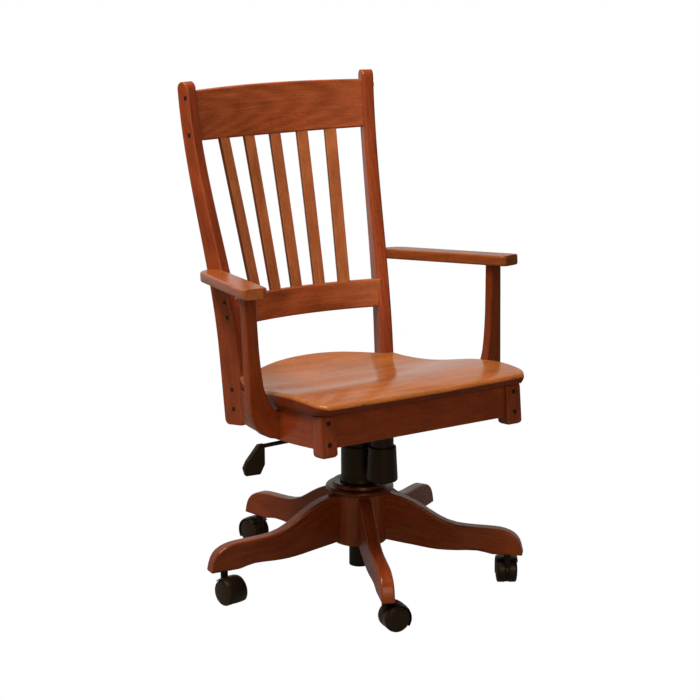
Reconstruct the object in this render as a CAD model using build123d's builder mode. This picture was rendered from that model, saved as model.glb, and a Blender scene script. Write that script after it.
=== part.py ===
from build123d import *
import os
from math import cos, radians, sin, sqrt

# A swivel desk chair in cherry: five-legged base on casters, gas column, tilting seat with arms.
# Millimetres and degrees. Z is up, the chair faces -Y and the column stands on the origin.

# Base
leg_count = 5
first_leg_direction = 174.5
leg_reach = 315
leg_thickness = 25
leg_underside = 62
leg_shoulder = 177
leg_edge_round = 3
leg_tip_round = 3
hub_radius = 53
hub_bottom = 78
hub_height = 102
leg_tenon = 9
ring_radius = 65.5
ring_height = 18
ring_round = 12
dowel_radius = 5
dowel_length = 34
dowel_spacing = 44
dowel_grip = 15

# Casters
caster_inset = 29.4
caster_directions = [-80, -10, 58, 148, 100]
caster_trail = 17
wheel_radius = 25
wheel_width = 13.5
wheel_edge_round = 2.5
axle_radius = 4
caster_web = 14
hood_clearance = 1.2
hood_wall = 2.4
hood_lift = 13
caster_boss_radius = 7
stem_radius = 5.5
stem_depth = 36
stem_pin_radius = 4
stem_collar = 3

# Column
tube_bottom = 28
tube_top = 252
tube_radius = 25
tube_foot_radius = 20.4
tube_wall = 2.1
tube_floor = 6
cylinder_radius = 14
cylinder_wall = 2
cylinder_bottom = 64
cylinder_top = 328
cylinder_taper = 0.8
rod_radius = 5
piston_height = 14
piston_bottom = 172
rod_shoulder_radius = 8
bearing_radius = 14
bearing_height = 6
clip_radius = 9
clip_height = 2
button_radius = 3
button_cap_radius = 5
button_cap_height = 4
button_travel = 6
cover_radius = 35.4
cover_wall = 1.6
cover_gap = 0.6
cover_height = 71
cover_foot = 1.6

# Tilt control under the seat
housing_width = 80
housing_wall = 4
housing_floor = 312
housing_front = 108
housing_rear = 45
socket_radius = 19
axle_ahead = 45
axle_below_seat = 27
tilt_axle_radius = 5
spring_tube_radius = 21.5
spring_tube_wall = 3
spring_tube_length = 40
tension_ahead = 79
tension_bolt_radius = 6
tension_head_height = 8
knob_bottom = 217
knob_height = 67
knob_top_radius = 26
knob_bottom_radius = 29.5
knob_floor = 23
lever_radius = 4
lever_gap = 0.6
lever_height = cylinder_top + button_travel + button_cap_height + lever_gap + lever_radius
lever_drop = 44
lever_elbow = 118
lever_reach = 216
paddle_length = 53
paddle_width = 40
paddle_thickness = 10

# Seat and the frame under it
seat_height = 384
seat_rake = 6
seat_front = 240
seat_front_bow = 5
seat_half_width = 230
seat_front_half_width = seat_half_width - 24
seat_corner_clip = 31
seat_middle_half_width = seat_half_width - 7
seat_back = 192
seat_corner_round = 12
seat_edge = 16
seat_crown = 28
seat_dip = 18
seat_rise = 44
rail_height = 63.5
rail_thickness = 20
front_rail_ahead = 208
side_rail_front = seat_half_width - 11.5
side_rail_middle = seat_half_width - 15
side_rail_back = 176.5
back_rail_behind = 164
corner_post_size = 33
corner_post_outside = seat_half_width - 10.5
corner_post_front = 215
corner_post_height = 79
corner_post_round = 7
seat_plate_thickness = 4
seat_plate_width = 150
seat_plate_length = 230
lug_gap = 4.5
lug_drop = 42
plate_bolt_radius = 3
plate_bolt_head_radius = 6
plate_bolt_depth = 12

# Back
post_inside = 152
post_ahead = 150
post_turn = 15
post_splay = 1.6
post_width = 25
post_foot_depth = 55
post_top_depth = 30
post_lean = 74
post_bottom = 70
post_top = 589
post_head_round = 12
post_foot_round = 10
post_edge_round = 3
crest_bottom = 475
crest_end_height = 95.5
crest_arch = 5
crest_thickness = 17
crest_radius = 600
crest_depth = 252
lower_rail_bottom = 119
lower_rail_height = 56
lower_rail_radius = 330
lower_rail_depth = 204.5
slat_count = 5
slat_width = 24
slat_thickness = 9
slat_inset = 1.5
slat_tenon = 10
slat_top_pitch = 60.6
slat_bottom_pitch = 50.2

# Arms
arm_thickness = 20
arm_underside = 208.5
arm_rise = 1.2
arm_front_inside = (seat_half_width + 28, -128)
arm_front_outside = (seat_half_width + 73, -120)
arm_rear_outside = (229, 191)
arm_nose_round = 9
arm_tail_round = 22
arm_edge_round = 3.5
arm_notch_ease = 0.8
support_thickness = 21
support_ahead = 63.5
support_lean = 3.7
support_top_outside = seat_half_width + 53.5
support_top_inside = seat_half_width + 29.5
support_foot_inside = seat_half_width - 27

# Hidden screws and the dark plugs over them
plug_size = 8
plug_depth = 6
plug_proud = 0.6
plug_inset_top = 10.5
plug_inset_foot = 26
screw_radius = 2.2
screw_head_radius = 3.8
screw_head_height = 3
screw_grip = 22
running_fit = 0.05
stand_off = 0.3


# The seat, back and arms are drawn in a frame raked back with the seat:
# its origin is under the seat on the column, y runs backwards and z upwards.
seat_frame = Plane(
    origin=(0, 0, seat_height),
    x_dir=(1, 0, 0),
    z_dir=(0, sin(radians(seat_rake)), cos(radians(seat_rake))),
)


def seat_point(x, y, z):
    return seat_frame.from_local_coords((x, y, z))


def seat_direction(x, y, z):
    return seat_frame.x_dir * x + seat_frame.y_dir * y + seat_frame.z_dir * z


def plan(height):
    return seat_frame.offset(height)


def front_view(y):
    return Plane(origin=seat_point(0, y, 0), x_dir=seat_frame.x_dir, z_dir=-seat_frame.y_dir)


def side_view(x):
    return Plane(origin=seat_point(x, 0, 0), x_dir=seat_frame.y_dir, z_dir=seat_frame.x_dir)


def upright(direction):
    # A standing plane through the column axis: x runs outwards, y runs up.
    outwards = Vector(cos(radians(direction)), sin(radians(direction)), 0)
    sideways = Vector(sin(radians(direction)), -cos(radians(direction)), 0)
    return Plane(origin=(0, 0, 0), x_dir=outwards, z_dir=sideways)


def mirrored(plane):
    def flip(vector):
        return Vector(-vector.X, vector.Y, vector.Z)
    return Plane(origin=flip(plane.origin), x_dir=flip(plane.x_dir), z_dir=flip(plane.z_dir))


def mirror_image(piece):
    with BuildPart() as other_side:
        mirror(piece, about=Plane.YZ)
    return other_side.part


def sag(radius, half_chord):
    return radius - sqrt(radius**2 - half_chord**2)


# Five bent legs, each a board cut to a drooping curve with a flat pad for its caster
leg_root = hub_radius - leg_tenon
leg_directions = [first_leg_direction + 360 / leg_count * number for number in range(leg_count)]
caster_reach = leg_reach - caster_inset


def leg_point(reach_share, height_share):
    reach = leg_root + (leg_reach - leg_root) * reach_share
    height = leg_underside + (leg_shoulder - leg_underside) * height_share
    return (reach, height)


leg_top_curve = [
    leg_point(0, 1),
    leg_point(0.15, 0.94),
    leg_point(0.32, 0.73),
    leg_point(0.47, 0.525),
    leg_point(0.63, 0.46),
    leg_point(0.8, 0.445),
]
leg_under_curve = [
    leg_point(0.785, 0),
    leg_point(0.68, 0.06),
    leg_point(0.54, 0.045),
    leg_point(0.39, 0.045),
    leg_point(0.24, 0.095),
    leg_point(0, 0.19),
]


def leg_dowel_planes(direction):
    middle = leg_underside + (leg_shoulder - leg_underside) * 0.6
    planes = []
    for step in (-0.5, 0.5):
        plane = upright(direction)
        start = plane.from_local_coords((leg_root - dowel_grip, middle + dowel_spacing * step, 0))
        planes.append(Plane(origin=start, x_dir=(0, 0, 1), z_dir=plane.x_dir))
    return planes


def leg(direction):
    with BuildPart() as board:
        with BuildSketch(upright(direction)) as outline:
            with BuildLine():
                Spline(*leg_top_curve)
                ThreePointArc(leg_point(0.8, 0.445), leg_point(0.955, 0.345), leg_point(1, 0.07))
                Polyline(leg_point(1, 0.07), leg_point(1, 0), leg_point(0.785, 0))
                Spline(*leg_under_curve)
                Line(leg_point(0, 0.19), leg_point(0, 1))
            make_face()
            tip = outline.vertices().group_by(Axis.Y)[0].sort_by(Axis.X)[-1]
            fillet(tip, leg_tip_round)
        extrude(amount=leg_thickness / 2, both=True)
        flanks = board.faces().filter_by(upright(direction)).edges()
        brow = leg_point(0, 0.3)[1]
        upper_rims = [edge for edge in flanks.filter_by(Axis.Z, reverse=True) if edge.center().Z > brow]
        fillet(upper_rims, leg_edge_round)
        for plane in leg_dowel_planes(direction):
            with BuildSketch(plane):
                Circle(dowel_radius)
            extrude(amount=dowel_length, mode=Mode.SUBTRACT)
        foot = upright(direction).from_local_coords((caster_reach, leg_underside, 0))
        with BuildSketch(Plane(origin=foot, z_dir=(0, 0, 1))):
            Circle(stem_radius + running_fit)
        extrude(amount=stem_depth + stand_off, mode=Mode.SUBTRACT)
    return board.part


legs = [leg(direction) for direction in leg_directions]

# Turned hub with a tapered bore for the column and a slot for every leg
hub_top = hub_bottom + hub_height
bore_bottom = tube_foot_radius + running_fit
bore_top = tube_radius + running_fit
with BuildPart() as hub:
    with BuildSketch(Plane.XZ):
        with BuildLine():
            Polyline(
                (bore_bottom, hub_bottom),
                (hub_radius, hub_bottom),
                (hub_radius, hub_top),
                (bore_top, hub_top),
                close=True,
            )
        make_face()
    revolve(axis=Axis.Z)
    rim = hub.edges().filter_by(GeomType.CIRCLE).group_by(Axis.Z)[0].sort_by(SortBy.RADIUS)[-1]
    fillet(rim, leg_edge_round)
    for board in legs:
        add(board, mode=Mode.SUBTRACT)
    for direction in leg_directions:
        for plane in leg_dowel_planes(direction):
            with BuildSketch(plane):
                Circle(dowel_radius)
            extrude(amount=dowel_length, mode=Mode.SUBTRACT)

with BuildPart() as leg_dowels:
    for direction in leg_directions:
        for plane in leg_dowel_planes(direction):
            with BuildSketch(plane):
                Circle(dowel_radius - running_fit)
            extrude(amount=dowel_length)

# Rounded cap ring on the hub
ring_top = hub_top + ring_height
with BuildPart() as hub_ring:
    with BuildSketch(Plane.XY.offset(hub_top)):
        Circle(ring_radius)
        Circle(bore_top, mode=Mode.SUBTRACT)
    extrude(amount=ring_height)
    fillet(hub_ring.edges().group_by(Axis.Z)[-1].sort_by(SortBy.RADIUS)[-1], ring_round)
    fillet(hub_ring.edges().group_by(Axis.Z)[0].sort_by(SortBy.RADIUS)[-1], leg_edge_round)


def turned(profile):
    # A solid of revolution about the column axis from (radius, height) corners.
    with BuildPart() as piece:
        with BuildSketch(Plane.XZ):
            with BuildLine():
                Polyline(*profile, close=True)
            make_face()
        revolve(axis=Axis.Z)
    return piece.part


# Gas column: a fixed stand tube, and a gas cylinder that slides and turns in its guide bush
bush_radius = tube_radius - tube_wall - running_fit
bush_bottom = hub_top
tube_inner_foot = tube_foot_radius - tube_wall
stand_tube = turned([
    (rod_radius + stand_off, tube_bottom),
    (tube_foot_radius, tube_bottom),
    (tube_foot_radius, hub_bottom),
    (tube_radius, hub_top),
    (tube_radius, tube_top),
    (tube_radius - tube_wall, tube_top),
    (tube_radius - tube_wall, bush_bottom),
    (tube_inner_foot, hub_bottom),
    (tube_inner_foot, tube_bottom + tube_floor),
    (rod_radius + stand_off, tube_bottom + tube_floor),
])
guide_bush = turned([
    (cylinder_radius + running_fit, bush_bottom + 1),
    (bush_radius, bush_bottom + 1),
    (bush_radius, tube_top),
    (tube_radius, tube_top),
    (tube_radius, tube_top + 2),
    (cylinder_radius + running_fit, tube_top + 2),
])
bearing_bottom = tube_bottom + tube_floor
thrust_bearing = turned([
    (rod_radius + stand_off, bearing_bottom),
    (bearing_radius, bearing_bottom),
    (bearing_radius, bearing_bottom + bearing_height),
    (rod_radius + stand_off, bearing_bottom + bearing_height),
])
shoulder_bottom = bearing_bottom + bearing_height + stand_off
piston_radius = cylinder_radius - cylinder_wall - running_fit
piston_rod = turned([
    (0, tube_bottom - clip_height * 2),
    (rod_radius, tube_bottom - clip_height * 2),
    (rod_radius, shoulder_bottom),
    (rod_shoulder_radius, shoulder_bottom),
    (rod_shoulder_radius, shoulder_bottom + bearing_height),
    (rod_radius, shoulder_bottom + bearing_height),
    (rod_radius, piston_bottom),
    (piston_radius, piston_bottom),
    (piston_radius, piston_bottom + piston_height),
    (0, piston_bottom + piston_height),
])
clip_top = tube_bottom - stand_off
retaining_clip = turned([
    (rod_radius + running_fit, clip_top - clip_height),
    (clip_radius, clip_top - clip_height),
    (clip_radius, clip_top),
    (rod_radius + running_fit, clip_top),
])
cylinder_inside = cylinder_radius - cylinder_wall
gas_cylinder = turned([
    (rod_radius + running_fit, cylinder_bottom),
    (cylinder_radius, cylinder_bottom),
    (cylinder_radius, housing_floor),
    (cylinder_radius - cylinder_taper, cylinder_top),
    (button_radius, cylinder_top),
    (button_radius, housing_floor),
    (cylinder_inside, housing_floor - 4),
    (cylinder_inside, cylinder_bottom + tube_floor),
    (rod_radius + running_fit, cylinder_bottom + tube_floor),
])
button_cap_bottom = cylinder_top + button_travel
release_button = turned([
    (0, housing_floor + button_travel),
    (button_radius - running_fit, housing_floor + button_travel),
    (button_radius - running_fit, button_cap_bottom),
    (button_cap_radius, button_cap_bottom),
    (button_cap_radius, button_cap_bottom + button_cap_height),
    (0, button_cap_bottom + button_cap_height),
])


def cover_sleeve(layer, bottom, top):
    outside = cover_radius - layer * (cover_wall + cover_gap)
    foot = outside + cover_foot * (1 if layer == 0 else 0)
    return turned([
        (outside - cover_wall, bottom),
        (foot, bottom),
        (foot, bottom + 2),
        (outside, bottom + 6),
        (outside, top),
        (outside - cover_wall, top),
    ])


# Telescoping cover of three sleeves, nested while the seat is at its lowest
cover_lower = cover_sleeve(0, ring_top, ring_top + cover_height)
cover_middle = cover_sleeve(1, ring_top + cover_gap, ring_top + cover_gap + cover_height)
cover_upper = cover_sleeve(2, ring_top + 2 * cover_gap, housing_floor)

# Twin-wheel casters, each turned its own way
hood_inside = wheel_radius + hood_clearance
hood_radius = hood_inside + hood_wall
hood_half_width = caster_web / 2 + stand_off + wheel_width


def caster_view(number):
    foot = upright(leg_directions[number]).from_local_coords((caster_reach, 0, 0))
    turn = upright(caster_directions[number])
    return Plane(origin=foot, x_dir=turn.x_dir, z_dir=turn.z_dir)


def caster_hood(number):
    view = caster_view(number)
    axle = (caster_trail, wheel_radius)
    boss_top = leg_underside - stem_collar - stand_off
    with BuildPart() as hood:
        with BuildSketch(view):
            with Locations(axle):
                Circle(hood_radius)
                Circle(hood_inside, mode=Mode.SUBTRACT)
            with Locations((caster_trail, wheel_radius - hood_radius)):
                Rectangle(3 * hood_radius, 2 * (hood_radius - wheel_radius / 4), mode=Mode.SUBTRACT)
            with Locations((caster_trail - hood_radius, wheel_radius)):
                Rectangle(hood_radius, 2 * hood_lift, mode=Mode.SUBTRACT)
        extrude(amount=hood_half_width, both=True)
        with BuildSketch(view):
            with Locations(axle):
                Circle(hood_inside + hood_wall / 2)
            with Locations((caster_trail, wheel_radius - hood_radius)):
                Rectangle(3 * hood_radius, 2 * (hood_radius - wheel_radius / 4), mode=Mode.SUBTRACT)
            with Locations((caster_trail - hood_radius, wheel_radius)):
                Rectangle(hood_radius, 2 * hood_lift, mode=Mode.SUBTRACT)
            with Locations(axle):
                Circle(wheel_radius - hood_clearance)
        extrude(amount=caster_web / 2, both=True)
        with BuildSketch(view):
            with Locations(axle):
                Circle(axle_radius)
        extrude(amount=hood_half_width - 1, both=True)
        with BuildSketch(Plane(origin=view.origin + Vector(0, 0, wheel_radius), z_dir=(0, 0, 1))):
            Circle(caster_boss_radius)
        extrude(amount=boss_top - wheel_radius)
        with BuildSketch(Plane(origin=view.origin + Vector(0, 0, wheel_radius), z_dir=(0, 0, 1))):
            Circle(stem_pin_radius + running_fit)
        extrude(amount=boss_top, mode=Mode.SUBTRACT)
    return hood.part


def caster_wheels(number):
    view = caster_view(number)
    with BuildPart() as wheels:
        for side in (-1, 1):
            inner_face = view.offset(side * (caster_web / 2 + stand_off))
            with BuildSketch(inner_face):
                with Locations((caster_trail, wheel_radius)):
                    Circle(wheel_radius)
                    Circle(axle_radius + running_fit, mode=Mode.SUBTRACT)
            extrude(amount=side * wheel_width)
        circles = wheels.edges().filter_by(GeomType.CIRCLE)
        treads = [edge for edge in circles if edge.radius > wheel_radius - 1]
        fillet(treads, wheel_edge_round)
    return wheels.part


hoods = [caster_hood(number) for number in range(leg_count)]
wheels = [caster_wheels(number) for number in range(leg_count)]

# Steel stems pushed into the legs, each ending in the pin its caster turns on
with BuildPart() as caster_stems:
    for number in range(leg_count):
        foot = caster_view(number).origin
        collar_bottom = leg_underside - stem_collar
        with BuildSketch(Plane(origin=foot + Vector(0, 0, leg_underside), z_dir=(0, 0, 1))):
            Circle(stem_radius)
        extrude(amount=stem_depth)
        with BuildSketch(Plane(origin=foot + Vector(0, 0, collar_bottom), z_dir=(0, 0, 1))):
            Circle(caster_boss_radius)
        extrude(amount=stem_collar)
        with BuildSketch(Plane(origin=foot + Vector(0, 0, wheel_radius + stand_off), z_dir=(0, 0, 1))):
            Circle(stem_pin_radius)
        extrude(amount=collar_bottom - wheel_radius - stand_off)

# Tilt control: a steel channel on the gas cylinder that carries the tilt axle
axle_point = seat_point(0, -axle_ahead, -axle_below_seat)
lug_inside = housing_width / 2 + lug_gap
housing_profile = [
    (-housing_front, housing_floor),
    (housing_rear, housing_floor),
    (housing_rear, housing_floor + 26),
    (0, housing_floor + 45),
    (axle_point.Y + 16, axle_point.Z + 12),
    (axle_point.Y - 16, axle_point.Z + 12),
    (-housing_front, housing_floor + 20),
]
tension_axis = Plane(origin=(0, -tension_ahead, 0), z_dir=(0, 0, 1))
with BuildPart() as tilt_housing:
    with BuildSketch(Plane.YZ):
        with BuildLine():
            Polyline(*housing_profile, close=True)
        make_face()
    extrude(amount=housing_width / 2, both=True)
    with BuildSketch(Plane.XY.offset(housing_floor + housing_wall)):
        with Locations((0, (housing_rear - housing_front) / 2)):
            Rectangle(housing_width - 2 * housing_wall, 2 * housing_front)
    extrude(amount=housing_width * 2, mode=Mode.SUBTRACT)
    with BuildSketch(Plane.XY.offset(housing_floor)):
        Circle(socket_radius)
    extrude(amount=cylinder_top - housing_floor - 4)
    with BuildSketch(tension_axis.offset(housing_floor - spring_tube_length)):
        Circle(spring_tube_radius)
        Circle(spring_tube_radius - spring_tube_wall, mode=Mode.SUBTRACT)
    extrude(amount=spring_tube_length)
    with BuildSketch(tension_axis.offset(housing_floor)):
        Circle(tension_bolt_radius + running_fit)
    extrude(amount=housing_wall, mode=Mode.SUBTRACT)
    with BuildSketch(Plane.XZ):
        with BuildLine():
            Polyline(
                (0, housing_floor),
                (cylinder_radius + running_fit, housing_floor),
                (cylinder_radius - cylinder_taper + running_fit, cylinder_top),
                (0, cylinder_top),
                close=True,
            )
        make_face()
    revolve(axis=Axis.Z, mode=Mode.SUBTRACT)
    with BuildSketch(Plane(origin=axle_point, x_dir=(0, 1, 0), z_dir=(1, 0, 0))):
        Circle(tilt_axle_radius + running_fit)
    extrude(amount=housing_width, both=True, mode=Mode.SUBTRACT)
    with BuildSketch(Plane(origin=(-housing_width / 2, 0, lever_height), z_dir=(1, 0, 0))):
        Circle(lever_radius + 2)
    extrude(amount=housing_wall, mode=Mode.SUBTRACT)

# Tilt axle with a head at each end, outside the lugs of the seat plate
axle_head_start = lug_inside + housing_wall + 0.5
with BuildPart() as tilt_axle:
    axle_view = Plane(origin=axle_point, z_dir=(1, 0, 0))
    with BuildSketch(axle_view):
        Circle(tilt_axle_radius)
    extrude(amount=axle_head_start + 3, both=True)
    for side in (-1, 1):
        with BuildSketch(axle_view.offset(side * axle_head_start)):
            Circle(tilt_axle_radius + 3)
        extrude(amount=side * 3)

# Tension bolt, its rubber spring and the knob that squeezes it
knob_top = knob_bottom + knob_height
knob_floor_top = knob_bottom + knob_floor
with BuildPart() as tension_bolt:
    with BuildSketch(tension_axis.offset(knob_bottom + 6)):
        Circle(tension_bolt_radius)
    extrude(amount=housing_floor + housing_wall - knob_bottom - 6)
    with BuildSketch(tension_axis.offset(housing_floor + housing_wall)):
        RegularPolygon(tension_bolt_radius * 1.7, 6)
    extrude(amount=tension_head_height)
with BuildPart() as tension_spring:
    with BuildSketch(tension_axis.offset(knob_floor_top + stand_off)):
        Circle(spring_tube_radius - spring_tube_wall - 1)
        Circle(tension_bolt_radius + 1, mode=Mode.SUBTRACT)
    extrude(amount=housing_floor - knob_floor_top - stand_off)
with BuildPart() as tension_knob:
    with BuildSketch(Plane(origin=(0, -tension_ahead, 0), x_dir=(1, 0, 0), z_dir=(0, -1, 0))):
        with BuildLine():
            Polyline(
                (0, knob_bottom),
                (knob_bottom_radius, knob_bottom),
                (knob_top_radius, knob_top),
                (spring_tube_radius + 0.7, knob_top),
                (spring_tube_radius + 0.7, knob_floor_top),
                (tension_bolt_radius + running_fit, knob_floor_top),
                (tension_bolt_radius + running_fit, knob_bottom + 5),
                (0, knob_bottom + 5),
                close=True,
            )
        make_face()
    revolve(axis=Axis((0, -tension_ahead, 0), (0, 0, 1)))
    fillet(tension_knob.edges().group_by(Axis.Z)[0].sort_by(SortBy.RADIUS)[-1], 4)

# Height lever: a bent rod that rocks in the housing wall, with a flat paddle
lever_low = lever_height - lever_drop
with BuildPart() as lever_rod:
    with BuildLine() as lever_path:
        FilletPolyline(
            (8, 0, lever_height),
            (-housing_width / 2 - 22, 0, lever_height),
            (-lever_elbow, 0, lever_low + 2),
            (-lever_reach, 0, lever_low),
            radius=12,
        )
    with BuildSketch(Plane(origin=lever_path.line @ 0, z_dir=lever_path.line % 0)):
        Circle(lever_radius)
    sweep(path=lever_path.line)
with BuildPart() as lever_paddle:
    paddle_view = Plane(origin=(-lever_reach, 0, lever_low), x_dir=(1, 0, 0), z_dir=(0, -1, 0))
    with BuildSketch(paddle_view) as paddle_face:
        with BuildLine():
            Polyline(
                (6, 5),
                (-8, 5),
                (-paddle_width * 0.82, -paddle_length * 0.43),
                (-paddle_width, -paddle_length * 0.68),
                (-paddle_width * 0.87, -paddle_length * 0.98),
                (-paddle_width * 0.1, -paddle_length),
                (6, -paddle_length * 0.66),
                close=True,
            )
        make_face()
        fillet(paddle_face.vertices(), 3)
    extrude(amount=paddle_thickness / 2, both=True)
    add(lever_rod.part, mode=Mode.SUBTRACT)

# Back posts: one swept-back side outline, turned to face the sitter and splayed a little
turn_cos = cos(radians(post_turn))
turn_sin = sin(radians(post_turn))
splay_cos = cos(radians(post_splay))
splay_sin = sin(radians(post_splay))
post_view = Plane(
    origin=seat_point(post_inside, post_ahead, 0),
    x_dir=seat_direction(turn_sin, turn_cos, 0),
    z_dir=seat_direction(turn_cos * splay_cos, -turn_sin * splay_cos, -splay_sin),
)
post_bend_top = post_top - 30
plug_spots = [
    (post_lean + plug_inset_top, crest_bottom + crest_end_height * 0.82),
    (post_lean + plug_inset_top, crest_bottom + crest_end_height * 0.14),
    (plug_inset_foot, lower_rail_bottom + lower_rail_height * 0.77),
    (plug_inset_foot, lower_rail_bottom + lower_rail_height * 0.24),
    (plug_inset_foot, -rail_height * 0.16),
    (plug_inset_foot, -rail_height * 0.68),
]
post_screw_planes = []
for spot in plug_spots:
    outer_face = post_view.offset(post_width)
    seat_of_plug = outer_face.from_local_coords((spot[0], spot[1], -plug_depth))
    post_screw_planes.append(Plane(origin=seat_of_plug, x_dir=post_view.x_dir, z_dir=-post_view.z_dir))

corner_post_middle = corner_post_outside - corner_post_size / 2
corner_screw_planes = []
for height in (-rail_height * 0.26, -rail_height * 0.86):
    seat_of_plug = seat_point(corner_post_middle, -corner_post_front + plug_depth, height)
    corner_screw_planes.append(Plane(origin=seat_of_plug, x_dir=seat_frame.x_dir, z_dir=seat_frame.y_dir))

right_screw_planes = post_screw_planes + corner_screw_planes
screw_planes = right_screw_planes + [mirrored(plane) for plane in right_screw_planes]


def screw_bores(planes):
    # Plug socket, head recess and shank hole along every screw, to cut from a post.
    with BuildPart() as bores:
        for plane in planes:
            with BuildSketch(plane):
                Rectangle(plug_size, plug_size)
            extrude(amount=-plug_depth - 1)
            with BuildSketch(plane):
                Circle(screw_head_radius + running_fit)
            extrude(amount=screw_head_height)
            with BuildSketch(plane):
                Circle(screw_radius + running_fit)
            extrude(amount=corner_post_size + screw_grip + 1)
    return bores.part


def pilot_holes(planes):
    # Shank holes to cut from the rails.
    with BuildPart() as holes:
        for plane in planes:
            with BuildSketch(plane):
                Circle(screw_radius + running_fit)
            extrude(amount=corner_post_size + screw_grip)
    return holes.part


with BuildPart() as back_post_right:
    with BuildSketch(post_view) as post_outline:
        with BuildLine():
            Line((0, -post_bottom), (0, 10))
            Spline((0, 10), (post_lean, post_bend_top), tangents=((0, 1), (0, 1)))
            Polyline(
                (post_lean, post_bend_top),
                (post_lean, post_top),
                (post_lean + post_top_depth, post_top),
                (post_lean + post_top_depth, post_bend_top),
            )
            Spline(
                (post_lean + post_top_depth, post_bend_top),
                (post_foot_depth, 70),
                tangents=((0, -1), (0, -1)),
            )
            Polyline((post_foot_depth, 70), (post_foot_depth, -post_bottom), (0, -post_bottom))
        make_face()
        fillet(post_outline.vertices().group_by(Axis.Y)[-1], post_head_round)
        fillet(post_outline.vertices().group_by(Axis.Y)[0], post_foot_round)
    extrude(amount=post_width)
    fillet(back_post_right.faces().filter_by(post_view).edges(), post_edge_round)
    add(screw_bores(post_screw_planes), mode=Mode.SUBTRACT)
back_post_left = mirror_image(back_post_right.part)

# Five slats between the back rails, fanned out towards the crest
slats = []
for number in range(slat_count):
    step = number - (slat_count - 1) / 2
    low_x = step * slat_bottom_pitch
    high_x = step * slat_top_pitch
    low_y = lower_rail_depth - sag(lower_rail_radius, low_x) + slat_inset + slat_thickness / 2
    high_y = crest_depth - sag(crest_radius, high_x) + slat_inset + slat_thickness / 2
    low = seat_point(low_x, low_y, lower_rail_bottom + lower_rail_height)
    high = seat_point(high_x, high_y, crest_bottom)
    along = (high - low).normalized()
    facing = (low_x / lower_rail_radius + high_x / crest_radius) / 2
    slat_plane = Plane(origin=low - along * slat_tenon, x_dir=seat_direction(1, -facing, 0), z_dir=along)
    with BuildPart() as slat:
        with BuildSketch(slat_plane):
            RectangleRounded(slat_width, slat_thickness, 1.5)
        extrude(amount=(high - low).length + 2 * slat_tenon)
    slats.append(slat.part)

post_faces = [post_view, mirrored(post_view)]


def bowed_rail(radius, depth, thickness, bottom, height):
    # A board bowed backwards, cut off at the inside faces of the two posts.
    half = post_inside + post_width * 2
    with BuildPart() as rail:
        with BuildSketch(plan(bottom)):
            with BuildLine():
                end_depth = depth - sag(radius, half)
                ThreePointArc((-half, end_depth), (0, depth), (half, end_depth))
                Line((half, depth - sag(radius, half)), (half, depth - sag(radius, half) + thickness))
                ThreePointArc(
                    (half, depth - sag(radius, half) + thickness),
                    (0, depth + thickness),
                    (-half, depth - sag(radius, half) + thickness),
                )
                Line((-half, depth - sag(radius, half) + thickness), (-half, depth - sag(radius, half)))
            make_face()
        extrude(amount=height)
        for face in post_faces:
            split(bisect_by=face, keep=Keep.BOTTOM)
        for board in slats:
            add(board, mode=Mode.SUBTRACT)
        add(pilot_holes(screw_planes), mode=Mode.SUBTRACT)
    return rail.part


lower_back_rail = bowed_rail(
    lower_rail_radius, lower_rail_depth, crest_thickness, lower_rail_bottom, lower_rail_height
)
with BuildPart() as crest_rail:
    add(bowed_rail(crest_radius, crest_depth, crest_thickness, crest_bottom, crest_end_height + crest_arch))
    with BuildSketch(front_view(0)):
        half = post_inside + post_width * 2
        end_height = crest_bottom + crest_end_height
        with BuildLine():
            ThreePointArc((-half, end_height), (0, end_height + crest_arch), (half, end_height))
            crest_foot = crest_bottom - 1
            Polyline((half, end_height), (half, crest_foot), (-half, crest_foot), (-half, end_height))
        make_face()
    extrude(amount=-2 * crest_depth, mode=Mode.INTERSECT)

# Corner posts under the front of the seat
with BuildPart() as front_post_right:
    with BuildSketch(plan(-corner_post_height)):
        with Locations((corner_post_middle, corner_post_size / 2 - corner_post_front)):
            RectangleRounded(corner_post_size, corner_post_size, 2)
    extrude(amount=corner_post_height)
    seat_up = Axis(seat_frame.origin, seat_frame.z_dir)
    fillet(front_post_right.faces().sort_by(seat_up)[0].edges(), corner_post_round)
    add(screw_bores(corner_screw_planes), mode=Mode.SUBTRACT)
front_post_left = mirror_image(front_post_right.part)

# Rails of the seat frame; the side rails bow in towards the back posts
corner_post_back = corner_post_size - corner_post_front
with BuildPart() as side_rail_right:
    with BuildSketch(plan(-rail_height)):
        with BuildLine():
            outer = [
                (side_rail_front, corner_post_back),
                (side_rail_middle, -20),
                (side_rail_back, post_ahead),
            ]
            inner = [(x - rail_thickness, y) for x, y in outer]
            ThreePointArc(*outer)
            Line(outer[2], inner[2])
            ThreePointArc(*reversed(inner))
            Line(inner[0], outer[0])
        make_face()
    extrude(amount=rail_height)
    front_of_post = Plane(origin=post_view.origin, z_dir=post_view.x_dir)
    split(bisect_by=front_of_post, keep=Keep.BOTTOM)
    add(pilot_holes(corner_screw_planes), mode=Mode.SUBTRACT)
side_rail_left = mirror_image(side_rail_right.part)

with BuildPart() as front_rail:
    with BuildSketch(plan(-rail_height)):
        with Locations((0, rail_thickness / 2 - front_rail_ahead)):
            Rectangle(2 * (corner_post_outside - corner_post_size), rail_thickness)
    extrude(amount=rail_height)

with BuildPart() as back_rail:
    with BuildSketch(plan(-rail_height)):
        with Locations((0, back_rail_behind + rail_thickness / 2)):
            Rectangle(2 * (post_inside + post_width), rail_thickness)
    extrude(amount=rail_height)
    for face in post_faces:
        split(bisect_by=face, keep=Keep.BOTTOM)
    add(pilot_holes(screw_planes), mode=Mode.SUBTRACT)

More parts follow.
